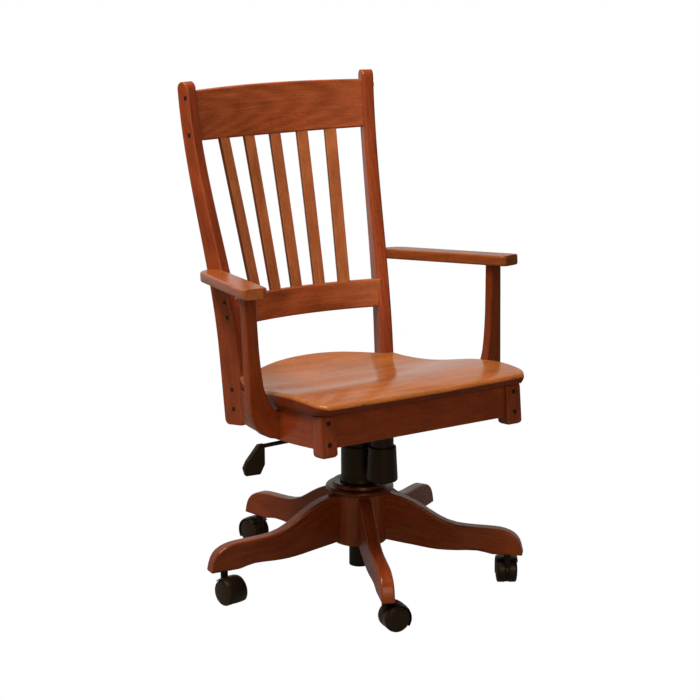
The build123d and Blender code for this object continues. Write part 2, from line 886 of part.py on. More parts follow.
# Seat: a solid board shaped from front to back, fitted between the front faces of the back posts
plate_bolt_spots = [
    (x * seat_plate_width * 0.41, y * seat_plate_length * 0.42) for x in (-1, 1) for y in (-1, 1)
]
post_corner = (post_inside + (post_width + 2) * turn_cos, post_ahead - (post_width + 2) * turn_sin)
with BuildPart() as seat:
    with BuildSketch(plan(0)) as seat_outline:
        with BuildLine():
            front_corner = (seat_front_half_width, seat_front_bow - seat_front)
            side_start = (seat_half_width, front_corner[1] + seat_corner_clip)
            ThreePointArc((-front_corner[0], front_corner[1]), (0, -seat_front), front_corner)
            for side in (-1, 1):
                Line((side * front_corner[0], front_corner[1]), (side * side_start[0], side_start[1]))
                ThreePointArc(
                    (side * side_start[0], side_start[1]),
                    (side * seat_middle_half_width, -20),
                    (side * post_corner[0], post_corner[1]),
                )
                Line((side * post_corner[0], post_corner[1]), (side * post_inside, post_ahead))
            ThreePointArc((post_inside, post_ahead), (0, seat_back), (-post_inside, post_ahead))
        make_face()
        front_corners = seat_outline.vertices().filter_by_position(Axis.Y, -seat_front, side_start[1] + 1)
        fillet(front_corners, seat_corner_round)
    extrude(amount=seat_rise + 10)
    with BuildSketch(side_view(-seat_half_width - 10)):
        with BuildLine():
            Spline(
                (-seat_front - 2, seat_edge),
                (-seat_front * 0.67, seat_crown),
                (-seat_front * 0.3, seat_crown),
                (seat_back * 0.3, seat_dip),
                (seat_back * 0.72, seat_dip + (seat_rise - seat_dip) * 0.33),
                (seat_back + 2, seat_rise),
            )
            Polyline(
                (seat_back + 2, seat_rise),
                (seat_back + 2, 0),
                (-seat_front - 2, 0),
                (-seat_front - 2, seat_edge),
            )
        make_face()
    extrude(amount=2 * seat_half_width + 20, mode=Mode.INTERSECT)
    with BuildSketch(plan(0)):
        with Locations(*plate_bolt_spots):
            Circle(plate_bolt_radius + running_fit)
    extrude(amount=plate_bolt_depth + stand_off, mode=Mode.SUBTRACT)

# Steel plate bolted under the seat, with two lugs that hang on the tilt axle
with BuildPart() as seat_plate:
    with BuildSketch(plan(-seat_plate_thickness)) as plate_outline:
        Rectangle(seat_plate_width, seat_plate_length)
        fillet(plate_outline.vertices(), 12)
        with Locations(*plate_bolt_spots):
            Circle(plate_bolt_radius + running_fit, mode=Mode.SUBTRACT)
    extrude(amount=seat_plate_thickness)
    for side in (-1, 1):
        with BuildSketch(side_view(side * lug_inside)):
            with BuildLine():
                Polyline(
                    (-axle_ahead - 40, -seat_plate_thickness),
                    (-axle_ahead + 40, -seat_plate_thickness),
                    (-axle_ahead + 14, -lug_drop),
                    (-axle_ahead - 14, -lug_drop),
                    close=True,
                )
            make_face()
        extrude(amount=side * housing_wall)
    with BuildSketch(Plane(origin=axle_point, z_dir=(1, 0, 0))):
        Circle(tilt_axle_radius + running_fit)
    extrude(amount=housing_width, both=True, mode=Mode.SUBTRACT)

with BuildPart() as plate_bolts:
    with BuildSketch(plan(-seat_plate_thickness)):
        with Locations(*plate_bolt_spots):
            Circle(plate_bolt_radius)
    extrude(amount=seat_plate_thickness + plate_bolt_depth)
    with BuildSketch(plan(-seat_plate_thickness)):
        with Locations(*plate_bolt_spots):
            RegularPolygon(plate_bolt_head_radius, 6)
    extrude(amount=-4)

# Arms: flat boards splayed outwards, notched round the back posts
arm_plane = Plane(
    origin=seat_point(0, 0, arm_underside),
    x_dir=seat_frame.x_dir,
    z_dir=seat_direction(0, -sin(radians(arm_rise)), cos(radians(arm_rise))),
)
notch_front = (post_inside + 31, post_ahead + 28)
notch_back = (post_inside + 40, post_ahead + 40)
# The post leans over the arm a little, so the notch's upper edge is eased away from it
with BuildPart() as notch_easing:
    add(back_post_right.part.moved(Location((arm_notch_ease, 0, 0))))
    split(bisect_by=arm_plane.offset(arm_thickness - arm_notch_ease), keep=Keep.TOP)
with BuildPart() as arm_right:
    with BuildSketch(arm_plane) as arm_outline:
        with BuildLine():
            arm_corners = [arm_front_inside, arm_front_outside, arm_rear_outside, notch_back, notch_front]
            Polyline(*arm_corners, close=True)
        make_face()
        fillet(arm_outline.vertices().sort_by(Axis.Y)[:2], arm_nose_round)
        fillet(arm_outline.vertices().sort_by(Axis.Y)[-1], arm_tail_round)
    extrude(amount=arm_thickness)
    rims = arm_right.faces().filter_by(arm_plane).edges()
    free_rims = [rim for rim in rims if seat_frame.to_local_coords(rim.center()).X > notch_back[0] + 5]
    fillet(free_rims, arm_edge_round)
    add(back_post_right.part, mode=Mode.SUBTRACT)
    add(notch_easing.part, mode=Mode.SUBTRACT)
arm_left = mirror_image(arm_right.part)

# Arm supports: curved boards that swing out from under the seat and rise to the arms
support_view = Plane(
    origin=seat_point(0, -support_ahead, 0),
    x_dir=seat_frame.x_dir,
    z_dir=seat_direction(0, -cos(radians(support_lean)), -sin(radians(support_lean))),
)
support_top = arm_underside + 6
with BuildPart() as arm_support_right:
    with BuildSketch(support_view):
        with BuildLine():
            Line((support_top_outside, support_top), (support_top_outside - 3, 12))
            Spline(
                (support_top_outside - 3, 12),
                (support_top_outside - 22, -40),
                (support_top_outside - 58, 4.5 - rail_height),
                (support_foot_inside, 3.5 - rail_height),
            )
            Line((support_foot_inside, 3.5 - rail_height), (support_foot_inside, -14))
            Spline(
                (support_foot_inside, -14),
                (seat_half_width - 5, -6),
                (support_top_inside - 13, 30),
                (support_top_inside - 4, 100),
                (support_top_inside, support_top),
            )
            Line((support_top_inside, support_top), (support_top_outside, support_top))
        make_face()
    extrude(amount=support_thickness / 2, both=True)
    fillet(arm_support_right.faces().filter_by(support_view).edges(), arm_edge_round)
    split(bisect_by=arm_plane, keep=Keep.BOTTOM)
    add(side_rail_right.part, mode=Mode.SUBTRACT)
arm_support_left = mirror_image(arm_support_right.part)

# Screws through the posts and the square plugs that hide them
with BuildPart() as frame_screws:
    for plane in screw_planes:
        with BuildSketch(plane):
            Circle(screw_head_radius)
        extrude(amount=screw_head_height)
    for plane in post_screw_planes + [mirrored(plane) for plane in post_screw_planes]:
        with BuildSketch(plane):
            Circle(screw_radius)
        extrude(amount=post_width - plug_depth + screw_grip)
    for plane in corner_screw_planes + [mirrored(plane) for plane in corner_screw_planes]:
        with BuildSketch(plane):
            Circle(screw_radius)
        extrude(amount=corner_post_size - plug_depth + screw_grip)

with BuildPart() as plugs:
    for plane in screw_planes:
        with BuildSketch(plane):
            Rectangle(plug_size, plug_size)
        extrude(amount=-plug_depth - plug_proud)

# Every piece by name
pieces = {
    "hub": hub.part,
    "hub_ring": hub_ring.part,
    "leg_dowels": leg_dowels.part,
    "stand_tube": stand_tube,
    "guide_bush": guide_bush,
    "thrust_bearing": thrust_bearing,
    "piston_rod": piston_rod,
    "retaining_clip": retaining_clip,
    "gas_cylinder": gas_cylinder,
    "release_button": release_button,
    "cover_lower": cover_lower,
    "cover_middle": cover_middle,
    "cover_upper": cover_upper,
    "caster_stems": caster_stems.part,
    "tilt_housing": tilt_housing.part,
    "tilt_axle": tilt_axle.part,
    "tension_bolt": tension_bolt.part,
    "tension_spring": tension_spring.part,
    "tension_knob": tension_knob.part,
    "lever_rod": lever_rod.part,
    "lever_paddle": lever_paddle.part,
    "seat": seat.part,
    "seat_plate": seat_plate.part,
    "plate_bolts": plate_bolts.part,
    "front_rail": front_rail.part,
    "back_rail": back_rail.part,
    "side_rail_left": side_rail_left,
    "side_rail_right": side_rail_right.part,
    "front_post_left": front_post_left,
    "front_post_right": front_post_right.part,
    "back_post_left": back_post_left,
    "back_post_right": back_post_right.part,
    "lower_back_rail": lower_back_rail,
    "crest_rail": crest_rail.part,
    "arm_left": arm_left,
    "arm_right": arm_right.part,
    "arm_support_left": arm_support_left,
    "arm_support_right": arm_support_right.part,
    "frame_screws": frame_screws.part,
    "plugs": plugs.part,
}
for number in range(leg_count):
    pieces[f"leg_{number + 1}"] = legs[number]
    pieces[f"caster_hood_{number + 1}"] = hoods[number]
    pieces[f"caster_wheels_{number + 1}"] = wheels[number]
for number in range(slat_count):
    pieces[f"slat_{number + 1}"] = slats[number]

os.makedirs("parts", exist_ok=True)
for name, piece in pieces.items():
    piece.label = name
    export_step(piece, f"parts/{name}.step")
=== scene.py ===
from math import asin, cos, exp, log, pi, radians, sin, sqrt, tan

import bmesh
import bpy
from mathutils import Matrix, Vector


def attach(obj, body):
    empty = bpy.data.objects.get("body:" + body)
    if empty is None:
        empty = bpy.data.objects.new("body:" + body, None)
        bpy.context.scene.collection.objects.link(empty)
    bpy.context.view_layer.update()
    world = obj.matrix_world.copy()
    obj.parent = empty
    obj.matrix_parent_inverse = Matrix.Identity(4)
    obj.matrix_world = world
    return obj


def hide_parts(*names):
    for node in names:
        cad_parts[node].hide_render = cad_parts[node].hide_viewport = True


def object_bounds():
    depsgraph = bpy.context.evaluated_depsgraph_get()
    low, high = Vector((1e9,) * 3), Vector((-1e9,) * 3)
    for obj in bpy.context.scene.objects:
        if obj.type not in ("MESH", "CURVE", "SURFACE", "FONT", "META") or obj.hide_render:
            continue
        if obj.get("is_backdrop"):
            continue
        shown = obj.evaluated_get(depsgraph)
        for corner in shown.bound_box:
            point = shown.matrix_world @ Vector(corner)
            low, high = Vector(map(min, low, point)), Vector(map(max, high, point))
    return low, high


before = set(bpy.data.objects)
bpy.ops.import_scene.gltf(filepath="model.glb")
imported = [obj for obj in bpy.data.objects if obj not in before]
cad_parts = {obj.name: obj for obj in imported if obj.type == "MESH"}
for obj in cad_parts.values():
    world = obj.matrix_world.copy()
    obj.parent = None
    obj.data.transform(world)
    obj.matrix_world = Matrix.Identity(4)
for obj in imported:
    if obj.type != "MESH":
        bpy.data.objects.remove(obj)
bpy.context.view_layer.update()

# Studio
# A floor that the camera sees as plain white, a panel behind the chair that shows in its polish, a large
# soft lamp overhead to the left, two faint fills, and a camera where the photo's stood.


def white_surface(tree, surface, shares):
    # Shows a surface as plain white to camera rays, partly white to the other rays named with their
    # share, and as it is to the rest.
    path = tree.nodes.new("ShaderNodeLightPath")
    white = tree.nodes.new("ShaderNodeEmission")
    white.inputs["Color"].default_value = (1, 1, 1, 1)
    white.inputs["Strength"].default_value = 1
    seen = path.outputs["Is Camera Ray"]
    for name, share in shares.items():
        both = tree.nodes.new("ShaderNodeMath")
        both.operation = "MULTIPLY_ADD"
        both.use_clamp = True
        both.inputs[1].default_value = share
        tree.links.new(path.outputs[name], both.inputs[0])
        tree.links.new(seen, both.inputs[2])
        seen = both.outputs[0]
    mix = tree.nodes.new("ShaderNodeMixShader")
    tree.links.new(seen, mix.inputs[0])
    tree.links.new(surface, mix.inputs[1])
    tree.links.new(white.outputs["Emission"], mix.inputs[2])
    return mix.outputs[0]


def studio_plane(name, corners, shade, shares):
    paint = bpy.data.materials.new(name)
    paint.use_nodes = True
    tree = paint.node_tree
    shader = tree.nodes["Principled BSDF"]
    shader.inputs["Base Color"].default_value = (shade, shade * 0.97, shade * 0.94, 1)
    shader.inputs["Roughness"].default_value = 0.8
    shown = white_surface(tree, shader.outputs["BSDF"], shares)
    tree.links.new(shown, tree.nodes["Material Output"].inputs["Surface"])
    mesh = bpy.data.meshes.new(name)
    mesh.from_pydata(corners, [], [(0, 1, 2, 3)])
    mesh.materials.append(paint)
    plane = bpy.data.objects.new(name, mesh)
    bpy.context.scene.collection.objects.link(plane)
    plane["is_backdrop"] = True
    return plane


floor_corners = [(-8, -8, 0), (8, -8, 0), (8, 8, 0), (-8, 8, 0)]
studio_plane("studio_floor", floor_corners, 0.2, {"Is Glossy Ray": 0.08})
panel_corners = [(-4.5, 5.5, 0.02), (6.5, -1.5, 0.02), (6.5, -1.5, 4.5), (-4.5, 5.5, 4.5)]
panel_shares = {"Is Glossy Ray": 0.4, "Is Transmission Ray": 1}
panel = studio_plane("studio_panel", panel_corners, 0.4, panel_shares)
# Seen from behind, the panel would stand in the way; the camera sees the white world instead of it.
panel.visible_camera = False

world = bpy.data.worlds.new("Studio")
world.use_nodes = True
bpy.context.scene.world = world
sky = world.node_tree.nodes["Background"]
sky.inputs["Color"].default_value = (1, 0.98, 0.96, 1)
sky.inputs["Strength"].default_value = 0.09
world.node_tree.links.new(
    white_surface(world.node_tree, sky.outputs["Background"], {}),
    world.node_tree.nodes["World Output"].inputs["Surface"],
)


def soft_light(name, place, target, size, power, colour):
    lamp = bpy.data.lights.new(name, "AREA")
    lamp.shape = "RECTANGLE"
    lamp.size = size[0]
    lamp.size_y = size[1]
    lamp.energy = power
    lamp.color = colour
    light = bpy.data.objects.new(name, lamp)
    light.location = place
    light.rotation_euler = (Vector(target) - Vector(place)).to_track_quat("-Z", "Y").to_euler()
    bpy.context.scene.collection.objects.link(light)
    light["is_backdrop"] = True


soft_light("Key", (-1.4, -0.2, 3.6), (0, 0, 0.5), (1.8, 1.8), 165, (1, 0.97, 0.92))
soft_light("Left fill", (-3.4, 0.3, 1.5), (0, 0, 0.5), (1.6, 1.6), 8, (1, 0.96, 0.9))
soft_light("Front fill", (-1.2, -3.8, 1.6), (0, 0, 0.7), (1.6, 1.6), 28, (1, 0.96, 0.9))

# The camera stands 3.7 m away, in front of the sitter and to their right.
camera_data = bpy.data.cameras.new("Photo camera")
camera_data.sensor_width = 36
camera_data.lens = 103.6
camera = bpy.data.objects.new("Photo camera", camera_data)
yaw, pitch, roll = radians(32.522), radians(13.65), radians(-0.227)
ahead = Vector((sin(yaw) * cos(pitch), cos(yaw) * cos(pitch), -sin(pitch)))
level_right = Vector((cos(yaw), -sin(yaw), 0))
level_up = level_right.cross(ahead)
right = level_right * cos(roll) + level_up * sin(roll)
up = level_up * cos(roll) - level_right * sin(roll)
turn = Matrix((right, up, -ahead)).transposed().to_4x4()
camera.matrix_world = Matrix.Translation((-2.0022, -3.1081, 1.351)) @ turn
bpy.context.scene.collection.objects.link(camera)
bpy.context.scene.camera = camera
bpy.context.scene.view_settings.view_transform = "Standard"
camera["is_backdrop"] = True

# Legs
# Five cherry boards 25 mm thick, sawn to a long S that drops from the hub and swells to a round toe over
# a flat pad. Their edges are rounded over, and each is doweled into a slot in the hub.

# Every wooden piece carries a point attribute "grain": metres along its length, across it and into it.
# The group turns that into ring figure, long streaks, short dark pores and slow blotches.
cherry_figure = bpy.data.node_groups.new("Cherry figure", "ShaderNodeTree")
for socket, kind in (("Grain", "Vector"), ("Seed", "Float"), ("Ring pitch", "Float"), ("Heart", "Float")):
    cherry_figure.interface.new_socket(socket, in_out="INPUT", socket_type=f"NodeSocket{kind}")
for socket in ("Figure", "Streaks", "Pores", "Blotches"):
    cherry_figure.interface.new_socket(socket, in_out="OUTPUT", socket_type="NodeSocketFloat")


def fill_cherry_figure(tree):
    nodes, link = tree.nodes, tree.links.new
    given = nodes.new("NodeGroupInput")
    result = nodes.new("NodeGroupOutput")

    def math(operation, first, second=None):
        node = nodes.new("ShaderNodeMath")
        node.operation = operation
        for socket, value in zip(node.inputs, (first, second)):
            if value is None:
                continue
            if isinstance(value, (int, float)):
                socket.default_value = value
            else:
                link(value, socket)
        return node.outputs[0]

    def stretched_noise(scale, detail, shift):
        # Noise drawn out along the grain: scale is in cycles a metre along, across and into the wood.
        offset = nodes.new("ShaderNodeCombineXYZ")
        for axis in range(3):
            link(math("MULTIPLY", given.outputs["Seed"], shift * (axis + 1)), offset.inputs[axis])
        moved = nodes.new("ShaderNodeVectorMath")
        moved.operation = "ADD"
        link(given.outputs["Grain"], moved.inputs[0])
        link(offset.outputs[0], moved.inputs[1])
        scaled = nodes.new("ShaderNodeVectorMath")
        scaled.operation = "MULTIPLY"
        scaled.inputs[1].default_value = scale
        link(moved.outputs[0], scaled.inputs[0])
        noise = nodes.new("ShaderNodeTexNoise")
        noise.inputs["Scale"].default_value = 1
        noise.inputs["Detail"].default_value = detail
        noise.inputs["Roughness"].default_value = 0.55
        link(scaled.outputs[0], noise.inputs["Vector"])
        return noise.outputs["Fac"]

    part = nodes.new("ShaderNodeSeparateXYZ")
    link(given.outputs["Grain"], part.inputs[0])
    wander = stretched_noise((3, 9, 9), 2, 0.61)
    drift = math("MULTIPLY", math("SUBTRACT", stretched_noise((2, 2, 2), 1, 1.7), 0.5), 0.14)
    across = math("ADD", part.outputs[1], drift)
    slope = math("MULTIPLY", math("SUBTRACT", part.outputs[0], given.outputs["Heart"]), 0.16)
    depth = math("ADD", part.outputs[2], slope)
    radius = math("SQRT", math("ADD", math("MULTIPLY", across, across), math("MULTIPLY", depth, depth)))
    rings = math("MULTIPLY", math("DIVIDE", radius, given.outputs["Ring pitch"]), 2 * pi)
    wave = math("SINE", math("ADD", rings, math("MULTIPLY", wander, 6)))
    link(math("ADD", math("MULTIPLY", wave, 0.5), 0.5), result.inputs["Figure"])
    streaks = math("ADD", stretched_noise((5, 110, 110), 3, 0.37), stretched_noise((14, 420, 420), 2, 0.83))
    link(math("MULTIPLY", streaks, 0.5), result.inputs["Streaks"])
    flecks = math("SUBTRACT", stretched_noise((70, 1500, 1500), 1, 0.29), 0.6)
    pores = math("MULTIPLY", flecks, 7)
    pores.node.use_clamp = True
    link(pores, result.inputs["Pores"])
    link(stretched_noise((11, 26, 26), 2, 1.13), result.inputs["Blotches"])


fill_cherry_figure(cherry_figure)


def cherry(
    name, seed, light, dark, ring_pitch=0.012, figure_share=0.22, blotch=0.16,
    gloss=0.2, sheen=0.4, edge=None, heart=-0.19,
):
    # Lacquered cherry between a light and a dark tone. Ring pitch is in metres, heart is where along the
    # board its rings run out of the face, and edge is half the width of a board whose sides get painted
    # shade.
    material = bpy.data.materials.new(name)
    material.use_nodes = True
    tree = material.node_tree
    nodes, link = tree.nodes, tree.links.new
    shader = nodes["Principled BSDF"]
    grain = nodes.new("ShaderNodeAttribute")
    grain.attribute_name = "grain"
    figure = nodes.new("ShaderNodeGroup")
    figure.node_tree = cherry_figure
    figure.inputs["Seed"].default_value = seed
    figure.inputs["Ring pitch"].default_value = ring_pitch
    figure.inputs["Heart"].default_value = heart
    link(grain.outputs["Vector"], figure.inputs["Grain"])

    streak = nodes.new("ShaderNodeMapRange")
    streak.inputs["From Min"].default_value = 0.28
    streak.inputs["From Max"].default_value = 0.72
    streak.inputs["To Max"].default_value = 1 - figure_share
    link(figure.outputs["Streaks"], streak.inputs["Value"])
    blend = nodes.new("ShaderNodeMath")
    blend.operation = "MULTIPLY_ADD"
    blend.inputs[1].default_value = figure_share
    link(figure.outputs["Figure"], blend.inputs[0])
    link(streak.outputs["Result"], blend.inputs[2])

    wood = nodes.new("ShaderNodeMix")
    wood.data_type = "RGBA"
    wood.inputs["A"].default_value = (*dark, 1)
    wood.inputs["B"].default_value = (*light, 1)
    link(blend.outputs[0], wood.inputs["Factor"])

    cloud = nodes.new("ShaderNodeMapRange")
    cloud.inputs["From Min"].default_value = 0.3
    cloud.inputs["From Max"].default_value = 0.7
    cloud.inputs["To Min"].default_value = 1 - blotch
    cloud.inputs["To Max"].default_value = 1 + blotch
    link(figure.outputs["Blotches"], cloud.inputs["Value"])
    clouded = nodes.new("ShaderNodeVectorMath")
    clouded.operation = "SCALE"
    link(wood.outputs["Result"], clouded.inputs[0])
    link(cloud.outputs["Result"], clouded.inputs["Scale"])

    pored = nodes.new("ShaderNodeMix")
    pored.data_type = "RGBA"
    pored.inputs["B"].default_value = (dark[0] * 0.35, dark[1] * 0.3, dark[2] * 0.3, 1)
    link(figure.outputs["Pores"], pored.inputs["Factor"])
    link(clouded.outputs[0], pored.inputs["A"])
    finished = pored.outputs["Result"]
    if edge:
        # Painted shade on the side faces of the board, which lie this far from its middle.
        split = nodes.new("ShaderNodeSeparateXYZ")
        link(grain.outputs["Vector"], split.inputs[0])
        apart = nodes.new("ShaderNodeMath")
        apart.operation = "ABSOLUTE"
        link(split.outputs["Y"], apart.inputs[0])
        edge_shade_mask = nodes.new("ShaderNodeMapRange")
        edge_shade_mask.inputs["From Min"].default_value = edge - 0.001
        edge_shade_mask.inputs["From Max"].default_value = edge - 0.0001
        link(apart.outputs[0], edge_shade_mask.inputs["Value"])
        edge_shade_mix = nodes.new("ShaderNodeMix")
        edge_shade_mix.data_type = "RGBA"
        edge_shade_mix.inputs["B"].default_value = (dark[0] * 0.42, dark[1] * 0.36, dark[2] * 0.33, 1)
        link(edge_shade_mask.outputs["Result"], edge_shade_mix.inputs["Factor"])
        link(finished, edge_shade_mix.inputs["A"])
        finished = edge_shade_mix.outputs["Result"]
    link(finished, shader.inputs["Base Color"])

    polish = nodes.new("ShaderNodeMapRange")
    polish.inputs["To Min"].default_value = gloss
    polish.inputs["To Max"].default_value = gloss + 0.12
    link(figure.outputs["Streaks"], polish.inputs["Value"])
    link(polish.outputs["Result"], shader.inputs["Roughness"])
    shader.inputs["Specular IOR Level"].default_value = sheen
    shader.inputs["Specular Tint"].default_value = (1, 0.74, 0.44, 1)
    dent = nodes.new("ShaderNodeBump")
    dent.inputs["Strength"].default_value = 0.12
    dent.inputs["Distance"].default_value = 0.0003
    dent.invert = True
    link(figure.outputs["Pores"], dent.inputs["Height"])
    link(dent.outputs["Normal"], shader.inputs["Normal"])
    return material


def bands(rows, ring, first=0):
    # Four-sided faces between neighbouring rings of points, each ring closed on itself.
    faces = []
    for row in range(rows - 1):
        here = first + row * ring
        for k in range(ring):
            n = (k + 1) % ring
            faces.append((here + k, here + n, here + ring + n, here + ring + k))
    return faces


def tube(rows, ring, first=0):
    # The same with both ends closed by a flat lid.
    last = first + (rows - 1) * ring
    lids = [tuple(reversed(range(first, first + ring))), tuple(range(last, last + ring))]
    return bands(rows, ring, first) + lids


def loft(name, stations, radius, cap, material, corner_steps=4):
    # Skins a board through (centre, half width vector, half height vector) stations with rounded
    # long edges and rounded ends, and writes the grain attribute along it.
    rows = []
    count = len(stations)
    lengths = [(stations[i + 1][0] - stations[i][0]).length for i in range(count - 1)]

    def between(first, second, share):
        return tuple(a.lerp(b, share) for a, b in zip(first, second))

    for step in range(5):
        angle = step / 4 * pi / 2
        share = cap * (1 - cos(angle)) / lengths[0]
        rows.append((between(stations[0], stations[1], share), cap * (1 - sin(angle))))
    rows += [(station, 0) for station in stations[1:-1]]
    for step in range(5):
        angle = (4 - step) / 4 * pi / 2
        share = cap * (1 - cos(angle)) / lengths[-1]
        rows.append((between(stations[-1], stations[-2], share), cap * (1 - sin(angle))))

    points, grain = [], []
    along = 0
    middle = stations[count // 2]
    wide_board = middle[1].length >= middle[2].length
    for number, ((centre, wide, tall), inset) in enumerate(rows):
        if number:
            along += (centre - rows[number - 1][0][0]).length
        half_wide = max(wide.length - inset, 0.0004)
        half_tall = max(tall.length - inset, 0.0004)
        bend = min(radius, half_wide * 0.96, half_tall * 0.96)
        across, upward = wide.normalized(), tall.normalized()
        for corner, (sx, sy) in enumerate(((1, 1), (-1, 1), (-1, -1), (1, -1))):
            for step in range(corner_steps + 1):
                angle = (corner + step / corner_steps) * pi / 2
                p = sx * (half_wide - bend) + bend * cos(angle)
                q = sy * (half_tall - bend) + bend * sin(angle)
                points.append(centre + across * p + upward * q)
                grain.append((along, p, q) if wide_board else (along, q, p))
    ring = 4 * (corner_steps + 1)
    return finished_piece(name, points, tube(len(rows), ring), grain, material)


def closed_mesh(name, points, faces):
    # A mesh whose faces all point outwards, whichever way round they were listed.
    mesh = bpy.data.meshes.new(name)
    mesh.from_pydata(points, [], faces)
    shell = bmesh.new()
    shell.from_mesh(mesh)
    bmesh.ops.recalc_face_normals(shell, faces=shell.faces)
    shell.to_mesh(mesh)
    shell.free()
    return mesh


def finished_piece(name, points, faces, grain, material):
    # A smooth piece with its finish, its grain attribute and evenly shaded flats.
    mesh = closed_mesh(name, points, faces)
    mesh.attributes.new("grain", "FLOAT_VECTOR", "POINT")
    flat = [value for triple in grain for value in triple]
    mesh.attributes["grain"].data.foreach_set("vector", flat)
    mesh.materials.append(material)
    mesh.shade_smooth()
    piece = bpy.data.objects.new(name, mesh)
    bpy.context.scene.collection.objects.link(piece)
    piece.modifiers.new("Flat faces", "WEIGHTED_NORMAL").keep_sharp = True
    return piece


# Each leg's outline: distance from the column, then the heights of its upper and lower edge.
leg_sections = [
    (44, 177, 84), (64, 174.5, 80.5), (85, 169, 77), (105, 160, 74), (122, 150.5, 71), (138, 140.5, 68.6),
    (154, 131, 67), (170, 123.5, 66.5), (188, 118.6, 66.8), (208, 116.4, 68), (228, 115.4, 68.2),
    (243, 115, 65.6), (257, 114.4, 62.4), (270, 113.2, 62), (280, 111.2, 62), (290, 107.6, 62),
    (298.5, 102.8, 62), (304.5, 96.8, 62), (308.8, 90, 62), (312.2, 80.5, 62), (314, 72, 62.3),
    (315, 66, 63.2),
]
leg_half_thickness = 0.0125
# The boards differ a little in tone, and the first is darkened further as painted shade.
leg_tones_and_shade = (0.72, 1.1, 1.05, 1, 1)


def leg_direction(number):
    angle = radians(174.5 + 72 * number)
    return Vector((cos(angle), sin(angle), 0))


for number, tone in enumerate(leg_tones_and_shade):
    outwards = leg_direction(number)
    sideways = Vector((-outwards.y, outwards.x, 0)) * leg_half_thickness
    stations = []
    for reach, top, bottom in leg_sections:
        centre = outwards * reach * 0.001 + Vector((0, 0, (top + bottom) * 0.0005))
        stations.append((centre, sideways, Vector((0, 0, (top - bottom) * 0.0005))))
    # The leg cherry is darker than the boards above it: painted shade under the seat.
    leg_light = Vector((0.28, 0.047, 0.01)) * tone
    leg_dark = Vector((0.165, 0.022, 0.004)) * tone
    leg_wood = cherry(f"Leg cherry {number + 1}", 3.1 + number * 1.7, leg_light, leg_dark)
    leg = loft(f"leg_board_{number + 1}", stations, 0.0045, 0.0015, leg_wood)
    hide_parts(f"leg_{number + 1}")
    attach(leg, "base")

# Dowels
# Round pins of bare hardwood glued between each leg and the hub. Nothing of them shows once the base is
# put together.
fine_grain = bpy.data.node_groups.new("Fine grain", "ShaderNodeTree")
for socket, kind in (("Vector", "Vector"), ("Grain size", "Float")):
    fine_grain.interface.new_socket(socket, in_out="INPUT", socket_type=f"NodeSocket{kind}")
for socket in ("Pebble", "Haze"):
    fine_grain.interface.new_socket(socket, in_out="OUTPUT", socket_type="NodeSocketFloat")
grain_in = fine_grain.nodes.new("NodeGroupInput")
grain_out = fine_grain.nodes.new("NodeGroupOutput")
grain_pebble = fine_grain.nodes.new("ShaderNodeTexNoise")
grain_pebble.inputs["Detail"].default_value = 2
grain_haze = fine_grain.nodes.new("ShaderNodeTexNoise")
grain_haze.inputs["Scale"].default_value = 35
grain_haze.inputs["Detail"].default_value = 3
fine_grain.links.new(grain_in.outputs["Vector"], grain_pebble.inputs["Vector"])
fine_grain.links.new(grain_in.outputs["Grain size"], grain_pebble.inputs["Scale"])
fine_grain.links.new(grain_in.outputs["Vector"], grain_haze.inputs["Vector"])
fine_grain.links.new(grain_pebble.outputs["Fac"], grain_out.inputs["Pebble"])
fine_grain.links.new(grain_haze.outputs["Fac"], grain_out.inputs["Haze"])


def grained(
    name, dark, pale, rough, metal=0.0, grain_size=1400.0, relief=0.08, tint=(1, 0.66, 0.38, 1),
):
    # Moulded, coated or bare surfaces: slightly uneven colour and shine with a fine pebble.
    material = bpy.data.materials.new(name)
    material.use_nodes = True
    tree = material.node_tree
    nodes, link = tree.nodes, tree.links.new
    shader = nodes["Principled BSDF"]
    place = nodes.new("ShaderNodeTexCoord")
    grain = nodes.new("ShaderNodeGroup")
    grain.node_tree = fine_grain
    grain.inputs["Grain size"].default_value = grain_size
    link(place.outputs["Object"], grain.inputs["Vector"])
    tone = nodes.new("ShaderNodeMix")
    tone.data_type = "RGBA"
    tone.inputs["A"].default_value = (*dark, 1)
    tone.inputs["B"].default_value = (*pale, 1)
    link(grain.outputs["Haze"], tone.inputs["Factor"])
    link(tone.outputs["Result"], shader.inputs["Base Color"])
    shine = nodes.new("ShaderNodeMapRange")
    shine.inputs["To Min"].default_value = rough - 0.08
    shine.inputs["To Max"].default_value = rough + 0.1
    link(grain.outputs["Haze"], shine.inputs["Value"])
    link(shine.outputs["Result"], shader.inputs["Roughness"])
    shader.inputs["Metallic"].default_value = metal
    shader.inputs["Specular IOR Level"].default_value = 0.3
    shader.inputs["Specular Tint"].default_value = tint
    dent = nodes.new("ShaderNodeBump")
    dent.inputs["Strength"].default_value = relief
    dent.inputs["Distance"].default_value = 0.0002
    link(grain.outputs["Pebble"], dent.inputs["Height"])
    link(dent.outputs["Normal"], shader.inputs["Normal"])
    return material


def refinish(node_name, material):
    # Gives a piece that is kept as it is in the frame its finish.
    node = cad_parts[node_name]
    node.data.materials.clear()
    node.data.materials.append(material)


dowel_wood = grained("Bare dowel", (0.45, 0.3, 0.16), (0.62, 0.45, 0.27), 0.6, 0.0, 300.0)
refinish("leg_dowels", dowel_wood)

# Hub and cap ring
# A plain drum turned from cherry, slotted for the legs and bored for the column, and a separate ring on
# top of it turned to a step and a bead.


